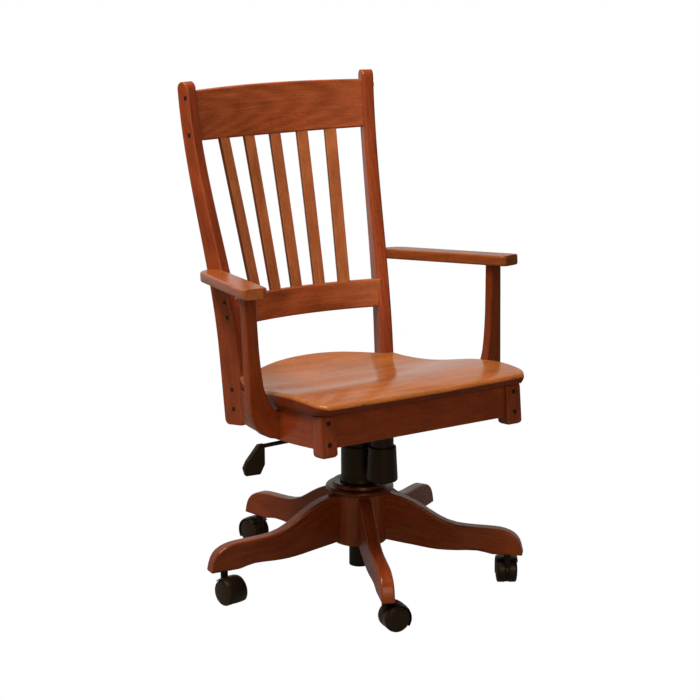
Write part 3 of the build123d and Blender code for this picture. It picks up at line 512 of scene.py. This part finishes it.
def lathe(name, profile, segments, material, place=Matrix.Identity(4), grain_axis=2):
    # Turns a closed (radius, height) outline in millimetres about Z, then sets it in place.
    points, grain = [], []
    for radius, height in profile:
        for k in range(segments):
            angle = 2 * pi * k / segments
            point = Vector((radius * cos(angle), radius * sin(angle), height)) * 0.001
            points.append(place @ point)
            grain.append([point[(grain_axis + axis) % 3] for axis in range(3)])
    faces = bands(len(profile), segments)
    last = (len(profile) - 1) * segments
    for k in range(segments):
        n = (k + 1) % segments
        faces.append((last + k, last + n, n, k))
    return finished_piece(name, points, faces, grain, material)


def rounded(centre_radius, centre_height, radius, start, end, steps=6):
    # Outline points round a corner, angles in degrees counted from straight outwards.
    angles = [radians(start + (end - start) * k / steps) for k in range(steps + 1)]
    return [(centre_radius + radius * cos(a), centre_height + radius * sin(a)) for a in angles]


hub_outline = [(26, 180)]
hub_outline += rounded(51.5, 178.5, 1.5, 90, 0, 3)
hub_outline += rounded(48, 83, 5, 0, -90)
hub_outline += [(21, 78)]
hub_wood = cherry("Hub cherry", 8.3, (0.3, 0.054, 0.011), (0.18, 0.026, 0.005))
hub = lathe("turned_hub", hub_outline, 72, hub_wood)
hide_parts("hub")
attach(hub, "base")

ring_outline = [(26, 198)]
ring_outline += rounded(50, 195, 3, 90, 0, 4)
ring_outline += [(53.2, 192.6), (54.2, 191.4), (56, 190.8)]
ring_outline += rounded(60.2, 185.5, 5.3, 90, -90, 10)
ring_outline += [(26, 180)]
# The ring's cherry is coloured almost black: painted shade from the seat above.
ring_wood_in_shade = cherry("Ring cherry in painted shade", 5.9, (0.11, 0.019, 0.004), (0.06, 0.009, 0.002))
ring = lathe("turned_ring", ring_outline, 96, ring_wood_in_shade, grain_axis=0)
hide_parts("hub_ring")
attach(ring, "base")

# Casters
# Twin-wheel casters of black moulded plastic, 50 mm across, with a barrel-shaped hood over the wheels. A
# stem pushed into the toe of each leg carries the hood, and each caster stands turned its own way.
hood_plastic = grained("Hood plastic", (0.004, 0.0025, 0.0015), (0.009, 0.005, 0.003), 0.36)
wheel_plastic = grained("Wheel plastic", (0.01, 0.0055, 0.0025), (0.021, 0.012, 0.006), 0.34)
wheel_radius, trail_length, stem_reach = 25, 17, 285.6
wheel_outline = [(0.05, 3.6), (20, 3.6), (23.5, 3.6)]
wheel_outline += rounded(23.5, 5.1, 1.5, -90, 0, 4)
wheel_outline += rounded(21, 15, 4, 0, 70, 6)
wheel_outline += [(20.6, 19.1), (20.1, 18.8), (19.5, 19.2), (16, 20), (12, 20.5), (8, 20.75), (4, 20.9)]
wheel_outline += [(0.05, 20.95)]


def moulded_hood(name, place):
    # A barrel-shaped shell over the wheels with a web between them and a boss round the stem, in
    # millimetres with the stem at zero and the wheels trailing along +X.
    points = []
    half_section = [(7, 28.5), (14, 28), (18, 27.1), (20.2, 26.2), (20.6, 25.4)]
    section = [(-s, r) for s, r in reversed(half_section)] + half_section
    section += [(19, 25.3), (12, 25.8), (-12, 25.8), (-19, 25.3)]
    steps = 28
    for step in range(steps + 1):
        angle = radians(-36 + 166 * step / steps)
        points += [(trail_length + r * cos(angle), s, wheel_radius + r * sin(angle)) for s, r in section]
    faces = tube(steps + 1, len(section))

    def drum(rings, spot, segments=40):
        start = len(points)
        for radius, level in rings:
            points.extend(spot(radius, level, 2 * pi * k / segments) for k in range(segments))
        faces.extend(tube(len(rings), segments, start))

    def web_spot(radius, level, angle):
        return (trail_length + radius * sin(angle), level, wheel_radius + radius * cos(angle))

    def boss_spot(radius, level, angle):
        return (radius * cos(angle), radius * sin(angle), level)

    drum([(24.3, -3), (24.3, 3)], web_spot)
    drum([(7, 34), (7, 58), (6.3, 58.7)], boss_spot)
    mesh = closed_mesh(name, [place @ (Vector(point) * 0.001) for point in points], faces)
    mesh.materials.append(hood_plastic)
    mesh.shade_smooth()
    mesh.set_sharp_from_angle(angle=radians(40))
    hood = bpy.data.objects.new(name, mesh)
    bpy.context.scene.collection.objects.link(hood)
    return hood


for number, turned in enumerate((-80, -10, 58, 148, 100)):
    trail = Vector((cos(radians(turned)), sin(radians(turned)), 0))
    axle = Vector((sin(radians(turned)), -cos(radians(turned)), 0))
    foot = leg_direction(number) * stem_reach * 0.001
    middle = foot + (trail * trail_length + Vector((0, 0, wheel_radius))) * 0.001
    for word, outward in (("near", axle), ("far", -axle)):
        wheel_axes = Matrix((trail, outward.cross(trail), outward)).transposed().to_4x4()
        wheel_place = Matrix.Translation(middle) @ wheel_axes
        wheel = lathe(f"wheel_{number + 1}_{word}", wheel_outline, 64, wheel_plastic, wheel_place)
        wheel.modifiers.clear()
        wheel.data.set_sharp_from_angle(angle=radians(50))
        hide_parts(f"caster_wheels_{number + 1}")
        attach(wheel, f"wheels_{number + 1}")
    hood_axes = Matrix((trail, axle, Vector((0, 0, 1)))).transposed().to_4x4()
    hood = moulded_hood(f"hood_{number + 1}", Matrix.Translation(foot) @ hood_axes)
    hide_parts(f"caster_hood_{number + 1}")
    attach(hood, f"caster_{number + 1}")
refinish("caster_stems", hood_plastic)

# Column and its telescoping cover
# A gas column in a steel stand tube that is wedged in the hub, under a black plastic cover. The cover's
# outer sleeve rests on the cap ring with a small flared foot, and the two inside it draw out with the lift.
cover_plastic = grained("Cover plastic", (0.005, 0.0035, 0.002), (0.01, 0.0065, 0.004), 0.4)
cover_outline = [(33.9, 198.2), (36.6, 198.2), (37, 198.6), (37, 200.2), (36.4, 201.6), (35.6, 204)]
cover_outline += [(35.4, 207)]
cover_outline += rounded(34.6, 268.2, 0.8, 0, 180, 4)
cover = lathe("column_cover", cover_outline, 96, cover_plastic)
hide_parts("cover_lower")
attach(cover, "base")
coated = grained("Black powder coat", (0.007, 0.006, 0.005), (0.014, 0.012, 0.01), 0.45, 0.0, 900.0, 0.15)
steel = grained("Zinc steel", (0.4, 0.4, 0.41), (0.62, 0.62, 0.63), 0.35, 1.0, 600.0, tint=(1, 1, 1, 1))
for name in ("cover_middle", "cover_upper", "guide_bush"):
    refinish(name, cover_plastic)
for name in ("stand_tube", "gas_cylinder"):
    refinish(name, coated)
for name in ("thrust_bearing", "piston_rod", "retaining_clip", "release_button"):
    refinish(name, steel)

# Tilt control
# A powder-coated steel housing on the gas cylinder carries the axle that the seat plate tilts on, and a
# rubber spring on a long bolt holds the seat forward. The plate is bolted under the seat, which hides it.
rubber = grained("Spring rubber", (0.01, 0.01, 0.01), (0.025, 0.025, 0.025), 0.75, 0.0, 500.0)
for name in ("tilt_housing", "seat_plate"):
    refinish(name, coated)
for name in ("tilt_axle", "tension_bolt", "plate_bolts"):
    refinish(name, steel)
refinish("tension_spring", rubber)

# Tension knob
# A tall tapered cup of black moulded plastic that hangs in front of the column on the end of the tension
# bolt. Turning it squeezes the rubber spring.
knob_plastic = grained("Knob plastic", (0.005, 0.003, 0.002), (0.01, 0.006, 0.004), 0.38)
knob_outline = [(6.1, 222), (6.1, 218.4), (5, 217)]
knob_outline += rounded(25.2, 221.2, 4.2, -90, 3)
knob_outline += rounded(24.6, 282.6, 1.7, 3, 90, 4)
knob_outline += [(22.4, 284.3), (22.3, 240.2), (6.1, 240.2)]
knob = lathe("knob_body", knob_outline, 72, knob_plastic, Matrix.Translation((0, -0.079, 0)))
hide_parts("tension_knob")
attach(knob, "knob")

# Height lever
# A flat paddle of black moulded plastic with rounded corners and edges, on the bent end of a coated steel
# rod that rocks in the housing. It hangs at the sitter's right and is lifted to free the gas column.
paddle_plastic = grained("Paddle plastic", (0.006, 0.0035, 0.002), (0.013, 0.008, 0.004), 0.36)
paddle_corners = [(6, 5), (-8, 5), (-33, -23), (-40, -36), (-35, -52), (-4, -53), (6, -35)]


def rounded_plate(name, corners, corner_round, thickness, edge_round, origin, material):
    # A flat plate in the XZ plane from its corners in millimetres, with every corner and edge rounded.
    outline = []
    for k, corner in enumerate(corners):
        here = Vector(corner)
        before = (Vector(corners[k - 1]) - here).normalized()
        after = (Vector(corners[(k + 1) % len(corners)]) - here).normalized()
        half = before.angle(after) / 2
        middle = here + (before + after).normalized() * corner_round / sin(half)
        start = here + before * corner_round / tan(half) - middle
        end = here + after * corner_round / tan(half) - middle
        for step in range(6):
            spoke = start.lerp(end, step / 5).normalized()
            outline.append((middle + spoke * corner_round, spoke))
    points, grain, levels = [], [], []
    for step in range(5):
        angle = step / 4 * pi / 2
        levels.append((edge_round * (1 - sin(angle)), edge_round * (1 - cos(angle)) - thickness / 2))
    levels += [(inset, -depth) for inset, depth in reversed(levels)]
    for inset, depth in levels:
        for place, spoke in outline:
            flat = place - spoke * inset
            points.append((Vector((flat.x, depth, flat.y)) + Vector(origin)) * 0.001)
            grain.append((flat.x * 0.001, flat.y * 0.001, depth * 0.001))
    return finished_piece(name, points, tube(len(levels), len(outline)), grain, material)


paddle = rounded_plate("paddle_body", paddle_corners, 4, 10, 3, (-216, 0, 298.6), paddle_plastic)
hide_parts("lever_paddle")
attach(paddle, "lever")
refinish("lever_rod", coated)

# Seat frame
# Four cherry rails 63.5 mm deep, screwed between square corner posts at the front and the back posts.
# Seat, back and arms are laid out together, raked back six degrees; left and right are the viewer's.
rake = radians(6)
seat_datum = Vector((0, 0, 0.384))


def seat_vector(x, y, z):
    # From millimetres in the raked layout to a step in metres in the chair's own directions.
    return Vector((x, y * cos(rake) + z * sin(rake), z * cos(rake) - y * sin(rake))) * 0.001


def seat_point(x, y, z):
    return seat_vector(x, y, z) + seat_datum


def upper_piece(piece, *nodes):
    # All the woodwork above the column tilts with the seat frame.
    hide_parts(*nodes)
    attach(piece, "seat_frame")


apron_light, apron_dark = (0.345, 0.058, 0.013), (0.21, 0.029, 0.006)
rail_half_depth = 31.75
upright = seat_vector(0, 0, rail_half_depth)
for word, back, marks, seed in (
    ("Front", -198, (-187, -60, 60, 187), 11.2),
    ("Back", 174, (-158, -50, 50, 158), 14.6),
):
    rail_wood = cherry(f"{word} rail cherry", seed, apron_light, apron_dark)
    stations = []
    for x in marks:
        stations.append((seat_point(x, back, -rail_half_depth), seat_vector(0, -10, 0), upright))
    rail = loft(f"{word.lower()}_rail_board", stations, 0.002, 0.001, rail_wood)
    upper_piece(rail, f"{word.lower()}_rail")

corner_light, corner_dark = (0.335, 0.062, 0.015), (0.21, 0.031, 0.007)
for side, word in ((-1, "left"), (1, "right")):
    side_wood = cherry(f"Side rail cherry {word}", 17.3 + side, apron_light, apron_dark)
    stations = []
    for y in (-185, -140, -100, -60, -20, 20, 60, 100, 130, 150):
        middle = 208.5 - 0.02147 * (y + 183) - 0.000616 * (y + 183) * (y + 20)
        stations.append((seat_point(side * middle, y, -rail_half_depth), seat_vector(10, 0, 0), upright))
    side_rail = loft(f"side_rail_board_{word}", stations, 0.002, 0.001, side_wood)
    upper_piece(side_rail, f"side_rail_{word}")
    corner_wood = cherry(f"Corner post cherry {word}", 21.7 + side * 2, corner_light, corner_dark)
    stations = []
    for z in (-79, -55, -25, -0.3):
        centre = seat_point(side * 203, -198.5, z)
        stations.append((centre, seat_vector(16.5, 0, 0), seat_vector(0, 16.5, 0)))
    corner_post = loft(f"corner_post_{word}", stations, 0.003, 0.007, corner_wood)
    upper_piece(corner_post, f"front_post_{word}")

# Seat
# One wide cherry board shaped all over: undercut edge, clipped front corners, a shallow hollow across the
# middle and a rise to the back. Its grain runs from side to side, and it lies on the four rails.
seat_profile = [(-242, 16), (-161, 28), (-72, 28), (58, 18), (138, 26.6), (194, 44)]


def seat_height_at(x, y):
    # The long profile as a smooth curve through its marks, hollowed a little across the middle.
    spans = list(zip(seat_profile, seat_profile[1:]))
    slopes = [(b[1] - a[1]) / (b[0] - a[0]) for a, b in spans]
    bends = [0.24] + [(s + t) / 2 for s, t in zip(slopes, slopes[1:])] + [0.36]
    number = max(0, sum(y > mark[0] for mark in seat_profile[:-1]) - 1)
    (y0, z0), (y1, z1) = spans[number]
    t = (y - y0) / (y1 - y0)
    rise = (bends[number] * (1 - t) - bends[number + 1] * t) * t * (1 - t) * (y1 - y0)
    wave = t * t * (3 - 2 * t)
    height = z0 + (z1 - z0) * wave + rise
    hollow = 5 * max(0, 1 - ((y - 30) / 150) ** 2) * max(0, 1 - (x / 205) ** 2)
    return height - hollow


def seat_width_at(y):
    # Half the width: bowed sides, clipped off softly at the front corners.
    side = 230 - 0.03804 * (y + 204) - 0.000686 * (y + 204) * (y + 20)
    clip = 213 + 0.774 * (y + 236)
    return side - 3 * log(1 + exp((side - clip) / 3))


def seat_front_edge(x):
    return -240 + 5 * (x / 206) ** 2


def seat_back_edge(x):
    reach = min(abs(x), 152)
    edge = 192 - (309 - sqrt(309**2 - reach**2))
    return edge - 0.268 * max(0, abs(x) - 152)


def seat_half_at(share):
    # Half the width at a share of the way from the front edge to the back edge, closed in on by steps.
    half = 220
    for _ in range(12):
        front, back = seat_front_edge(half), seat_back_edge(half)
        half = seat_width_at(front + (back - front) * share)
    return half


# Rows and columns of points lie close together at the rounded rim and evenly between.
seat_depth = 400
edge_steps = [0, 0.35, 1.2, 2.6, 4.4, 7]
across_marks = [("left", step) for step in edge_steps]
across_marks += [("between", -0.94 + 1.88 * k / 46) for k in range(47)]
across_marks += [("right", step) for step in reversed(edge_steps)]
along_marks = [step / seat_depth for step in edge_steps]
along_marks += [0.03 + 0.94 * k / 56 for k in range(57)]
along_marks += [1 - step / seat_depth for step in reversed(edge_steps)]


def edge_drop(distance, radius):
    # How far a rounded edge has fallen at a distance in from it.
    if distance >= radius:
        return 0
    return radius - sqrt(radius**2 - (radius - distance) ** 2)


points, grain, faces = [], [], []
columns = len(across_marks)
for t in along_marks:
    half = seat_half_at(t)
    for kind, value in across_marks:
        if kind == "left":
            x = -half + value
        elif kind == "right":
            x = half - value
        else:
            x = value * half
        front = seat_front_edge(x)
        y = front + (seat_back_edge(x) - front) * t
        top = seat_height_at(x, y)
        front_drop = edge_drop(t * seat_depth, 7)
        back_drop = edge_drop((1 - t) * seat_depth, 6)
        drop = max(edge_drop(half - abs(x), 6), front_drop, back_drop)
        points.append(seat_point(x, y, top - drop))
        grain.append((x * 0.001, y * 0.001, top * 0.001))
rows = len(along_marks)
for row in range(rows - 1):
    for k in range(columns - 1):
        first = row * columns + k
        faces.append((first, first + 1, first + columns + 1, first + columns))
top_faces = len(faces)
rim = list(range(columns))
rim += [row * columns + columns - 1 for row in range(1, rows)]
rim += [(rows - 1) * columns + k for k in range(columns - 2, -1, -1)]
rim += [row * columns for row in range(rows - 2, 0, -1)]
upper_ring = rim
# Rings of points under the rim form the undercut: how far in each lies, and its height.
for inset, height in ((0.6, 9), (1.8, 5), (3.6, 1.4), (4.5, 0.05)):
    lower_ring = []
    for index in rim:
        place = points[index] - seat_datum
        local = Vector((place.x, place.y * cos(rake) - place.z * sin(rake), 0)) * 1000
        shrink = 1 - inset / 200
        lower_ring.append(len(points))
        points.append(seat_point(local.x * shrink, (local.y + 30) * shrink - 30, height))
        grain.append((local.x * 0.001, local.y * 0.001, height * 0.001))
    for k in range(len(rim)):
        n = (k + 1) % len(rim)
        faces.append((upper_ring[n], upper_ring[k], lower_ring[k], lower_ring[n]))
    upper_ring = lower_ring
faces.append(tuple(upper_ring))
seat_light, seat_dark = (0.44, 0.138, 0.034), (0.33, 0.087, 0.02)
seat_wood = cherry("Shaped board cherry", 26.4, seat_light, seat_dark, 0.03, 0.2, 0.14, 0.12, 0.34)
# The undercut edge and the underside take a much darker cherry: painted shade under the rim.
rim_shade_light, rim_shade_dark = (0.22, 0.034, 0.007), (0.12, 0.016, 0.003)
rim_shade_wood = cherry("Shaped board edge in painted shade", 27.9, rim_shade_light, rim_shade_dark, 0.03, 0.2, 0.2, 0.3, 0.2)
seat_board = finished_piece("seat_board", points, faces, grain, seat_wood)
seat_board.data.materials.append(rim_shade_wood)
for face in seat_board.data.polygons[top_faces:]:
    face.material_index = 1
upper_piece(seat_board, "seat")

# Back posts
# Each post is a 25 mm cherry board sawn to a long S, deep at the foot and slim at the top, turned fifteen
# degrees to face the sitter and splayed a little. Screws through it hold the rails of seat and back.
facing, splay = radians(15), radians(1.6)


def post_vector(side, back, high, out):
    # A step in millimetres along a post's own directions: backwards, upwards and outwards.
    outward = (cos(facing), -sin(facing))
    x = back * sin(facing) + outward[0] * (high * sin(splay) + out * cos(splay))
    y = back * cos(facing) + outward[1] * (high * sin(splay) + out * cos(splay))
    z = high * cos(splay) - out * sin(splay)
    return seat_vector(side * x, y, z)


def post_spot(side, back, high, out):
    return seat_point(side * 152, 150, 0) + post_vector(side, back, high, out)


def ease(value, start, end):
    # A smooth step from 0 at the start to 1 at the end.
    t = min(1, max(0, (value - start) / (end - start)))
    return t * t * (3 - 2 * t)


post_light, post_dark = (0.35, 0.063, 0.016), (0.22, 0.032, 0.008)
post_foot, post_top, post_half_thickness = -70, 589, 12.5
for side, word in ((-1, "left"), (1, "right")):
    post_wood = cherry(f"Back post cherry {word}", 31.9 + side * 3, post_light, post_dark)
    stations = []
    heights = [post_foot, -69.4, -67.8, -65, -61, -50, -30]
    heights += [-10 + 25 * k for k in range(23)]
    heights += [560, 572, 579, 584, 587.5, post_top]
    for z in heights:
        front = 74 * ease(z, 10, 559)
        back = 55 + 49 * ease(z, 70, 559)
        crown = edge_drop(max(post_top - z, 0.4), 13)
        foot = edge_drop(max(z - post_foot, 0.4), 10)
        half_depth = (back - front) / 2 - crown - foot
        centre = post_spot(side, (front + back) / 2, z, post_half_thickness)
        across = post_vector(side, 0, 0, side * post_half_thickness)
        stations.append((centre, across, post_vector(side, -half_depth, 0, 0)))
    upper_piece(loft(f"post_board_{word}", stations, 0.005, 0.0003, post_wood), f"back_post_{word}")

# Crest, lower rail and slats
# Two cherry boards bowed to the sitter's back run between the posts. Five flat slats 24 mm wide, fanned
# out upwards, are let 5 mm into both of them.
crest_radius, crest_depth = 600, 252
lower_radius, lower_depth = 330, 204.5


def bowed_rail(name, radius, depth, reach, bottom, end_top, arch, material):
    # A 17 mm board bent to a radius, depth being how far back its middle lies.
    half_thickness = 8.5
    stations = []
    for k in range(25):
        angle = (k / 12 - 1) * asin(reach / radius)
        x = radius * sin(angle)
        y = depth - radius + radius * cos(angle)
        top = end_top + arch * (1 - (x / reach) ** 2)
        inward = seat_vector(-half_thickness * sin(angle), -half_thickness * cos(angle), 0)
        centre = seat_point(x, y, (top + bottom) / 2) - inward
        stations.append((centre, inward, seat_vector(0, 0, (top - bottom) / 2)))
    return loft(name, stations, 0.004, 0.001, material)


crest_light, crest_dark = (0.47, 0.108, 0.033), (0.28, 0.05, 0.013)
crest_wood = cherry("Crest cherry", 41.3, crest_light, crest_dark, 0.011, 0.34, heart=-0.05)
crest = bowed_rail("crest_board", crest_radius, crest_depth, 190, 475, 570.5, 5, crest_wood)
upper_piece(crest, "crest_rail")
lower_light, lower_dark = (0.43, 0.108, 0.03), (0.26, 0.05, 0.013)
lower_wood = cherry("Lower rail cherry", 44.8, lower_light, lower_dark, 0.014, 0.2, 0.3)
lower_rail = bowed_rail("lower_rail_board", lower_radius, lower_depth, 166, 119, 175, 0, lower_wood)
upper_piece(lower_rail, "lower_back_rail")
slat_light, slat_dark = (0.46, 0.14, 0.045), (0.31, 0.074, 0.02)
for number in range(5):
    step = number - 2
    low_x, high_x = step * 50.2, step * 60.6
    low_back = lower_depth - (lower_radius - sqrt(lower_radius**2 - low_x**2))
    high_back = crest_depth - (crest_radius - sqrt(crest_radius**2 - high_x**2))
    low = seat_point(low_x, low_back + 6, 170)
    high = seat_point(high_x, high_back + 6, 480)
    turned_in = (low_x / lower_radius + high_x / crest_radius) / 2
    wide = seat_vector(12, -12 * turned_in, 0)
    thick = wide.cross(high - low).normalized() * 0.0045
    # Each slat's side faces are darkened as painted shade.
    slat_wood = cherry(f"Slat cherry {number + 1}", 51.1 + number * 2.3, slat_light, slat_dark, edge=0.012)
    stations = [(low.lerp(high, share), wide, thick) for share in (0, 0.33, 0.67, 1)]
    upper_piece(loft(f"slat_board_{number + 1}", stations, 0.002, 0.001, slat_wood), f"slat_{number + 1}")

# Arms and their supports
# Flat cherry boards 45 mm wide, splayed outwards and notched round the posts. Each rests on a support
# that swings out from under the seat like the tail of a J.
arm_rise = radians(1.2)


def arm_point(x, y, high):
    back = y * cos(arm_rise) - high * sin(arm_rise)
    return seat_point(x, back, 208.5 + y * sin(arm_rise) + high * cos(arm_rise))


lean = radians(3.7)


def support_point(x, high):
    return seat_point(x, -63.5 - high * sin(lean), high * cos(lean))


# Both outlines are pairs of marks: the inner and outer edge of an arm's rounded tail, and the outer and
# inner edge of a support from under the seat to the arm.
arm_tail = [
    ((187, 168), (235, 163)), ((190, 176), (232, 172)), ((193, 183), (226, 180.5)),
    ((196, 187.5), (217, 187)), ((199, 190), (207, 190)),
]
support_outline = [
    ((203, -60), (203, -14)), ((222, -59.6), (214, -12)), ((238, -56), (222, -8)),
    ((253, -48), (228.6, -2.5)), ((265, -37), (234.5, 6)), ((273.5, -23), (240, 15.5)),
    ((278, -6), (245, 27)), ((280, 14), (248.8, 41)), ((280.6, 40), (251.6, 60)),
    ((281.2, 75), (254, 85)), ((281.8, 110), (256, 112)), ((282.6, 160), (257.8, 160)),
    ((283.3, 210), (259.3, 210)),
]
for side, word, tone in ((-1, "left", 1), (1, "right", 0.72)):
    # The right-hand arm and support are coloured darker than the left-hand ones.
    arm_light = Vector((0.4, 0.1, 0.022)) * tone
    arm_dark = Vector((0.27, 0.055, 0.011)) * tone
    arm_wood = cherry(f"Arm cherry {word}", 61.7 + side * 4, arm_light, arm_dark)
    edges = []
    for gap in (0, 0.8, 2, 4, 6.5, 9):
        pinch = 9 - sqrt(81 - (9 - gap) ** 2)
        edges.append(((258 - 0.235 * gap + pinch, -128 + gap), (303 - 0.235 * gap - pinch, -120 + gap)))
    for k in range(1, 12):
        share = k / 12
        edges.append(((256 - 69 * share, -119 + 287 * share), (301 - 66 * share, -111 + 274 * share)))
    edges += arm_tail
    stations = []
    for inner, outer in edges:
        near = arm_point(side * inner[0], inner[1], 10)
        far = arm_point(side * outer[0], outer[1], 10)
        rise = arm_point(0, 0, 10) - arm_point(0, 0, 0)
        stations.append(((near + far) / 2, (far - near) * side / 2, rise))
    upper_piece(loft(f"arm_board_{word}", stations, 0.0042, 0.0007, arm_wood), f"arm_{word}")
    # The support cherry is darker than the arm's: painted shade under the arm.
    support_light = Vector((0.3, 0.054, 0.012)) * tone
    support_dark = Vector((0.19, 0.027, 0.005)) * tone
    support_wood = cherry(
        f"Arm support cherry {word}", 71.2 + side * 5, support_light, support_dark, gloss=0.16,
    )
    stations = []
    for outer, inner in support_outline:
        far = support_point(side * outer[0], outer[1])
        near = support_point(side * inner[0], inner[1])
        thick = seat_vector(0, 10.5 * cos(lean), 10.5 * sin(lean))
        stations.append(((near + far) / 2, (far - near) * side / 2, thick))
    support = loft(f"arm_support_board_{word}", stations, 0.004, 0.0007, support_wood)
    upper_piece(support, f"arm_support_{word}")

# Screws and plugs
# Steel screws hold rails and posts together, each sunk under a small square plug of dark wood: six on the
# outside of each back post and two on the front of each corner post. Every plug has a low chamfered head.
refinish("frame_screws", steel)
plug_half, plug_proud, plug_taper = 4, 0.0008, 0.72
plug_points, plug_faces = [], []


def add_plug(centre, across, upward):
    # Draws a plug's square in place, to be raised below.
    start = len(plug_points)
    for a, b in ((-1, -1), (1, -1), (1, 1), (-1, 1)):
        plug_points.append(centre + across * a + upward * b)
    plug_faces.append((start, start + 1, start + 2, start + 3))


for side in (-1, 1):
    across, upward = post_vector(side, plug_half * side, 0, 0), post_vector(side, 0, plug_half, 0)
    for back, high in ((81.5, 558.5), (80.5, 488.4), (25, 169), (21.5, 139.5), (26, -0.5), (26, -38.5)):
        add_plug(post_spot(side, back, high, 25.05), across, upward)
    across, upward = seat_vector(plug_half, 0, 0), seat_vector(0, 0, plug_half)
    for high in (-16.5, -54.6):
        add_plug(seat_point(side * 203, -215.05, high), across, upward)
plug_mesh = bpy.data.meshes.new("plug_heads")
plug_mesh.from_pydata(plug_points, [], plug_faces)
plugs = bpy.data.objects.new("plug_heads", plug_mesh)
bpy.context.scene.collection.objects.link(plugs)
plug_wood = grained("Plug wood", (0.01, 0.004, 0.002), (0.024, 0.01, 0.005), 0.35, 0.0, 900.0)
raise_plugs = bpy.data.node_groups.new("Raise plugs", "GeometryNodeTree")
raise_plugs.interface.new_socket("Geometry", in_out="INPUT", socket_type="NodeSocketGeometry")
proud = raise_plugs.interface.new_socket("Proud", in_out="INPUT", socket_type="NodeSocketFloat")
taper = raise_plugs.interface.new_socket("Taper", in_out="INPUT", socket_type="NodeSocketFloat")
raise_plugs.interface.new_socket("Geometry", in_out="OUTPUT", socket_type="NodeSocketGeometry")
plug_in = raise_plugs.nodes.new("NodeGroupInput")
plug_out = raise_plugs.nodes.new("NodeGroupOutput")
extrude = raise_plugs.nodes.new("GeometryNodeExtrudeMesh")
extrude.mode = "FACES"
narrow = raise_plugs.nodes.new("GeometryNodeScaleElements")
narrow.domain = "FACE"
realize = raise_plugs.nodes.new("GeometryNodeRealizeInstances")
stain = raise_plugs.nodes.new("GeometryNodeSetMaterial")
stain.inputs["Material"].default_value = plug_wood
raise_plugs.links.new(plug_in.outputs["Geometry"], extrude.inputs["Mesh"])
raise_plugs.links.new(plug_in.outputs["Proud"], extrude.inputs["Offset Scale"])
raise_plugs.links.new(extrude.outputs["Mesh"], narrow.inputs["Geometry"])
raise_plugs.links.new(extrude.outputs["Top"], narrow.inputs["Selection"])
raise_plugs.links.new(plug_in.outputs["Taper"], narrow.inputs["Scale"])
raise_plugs.links.new(narrow.outputs["Geometry"], realize.inputs["Geometry"])
raise_plugs.links.new(realize.outputs["Geometry"], stain.inputs["Geometry"])
raise_plugs.links.new(stain.outputs["Geometry"], plug_out.inputs["Geometry"])
raising = plugs.modifiers.new("Raise", "NODES")
raising.node_group = raise_plugs
raising[proud.identifier] = plug_proud
raising[taper.identifier] = plug_taper
evaluated = plugs.evaluated_get(bpy.context.evaluated_depsgraph_get())
plugs.data = bpy.data.meshes.new_from_object(evaluated)
plugs.modifiers.clear()
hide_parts("plugs")
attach(plugs, "seat_frame")

# The bounds of every piece the scene shows.
low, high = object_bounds()
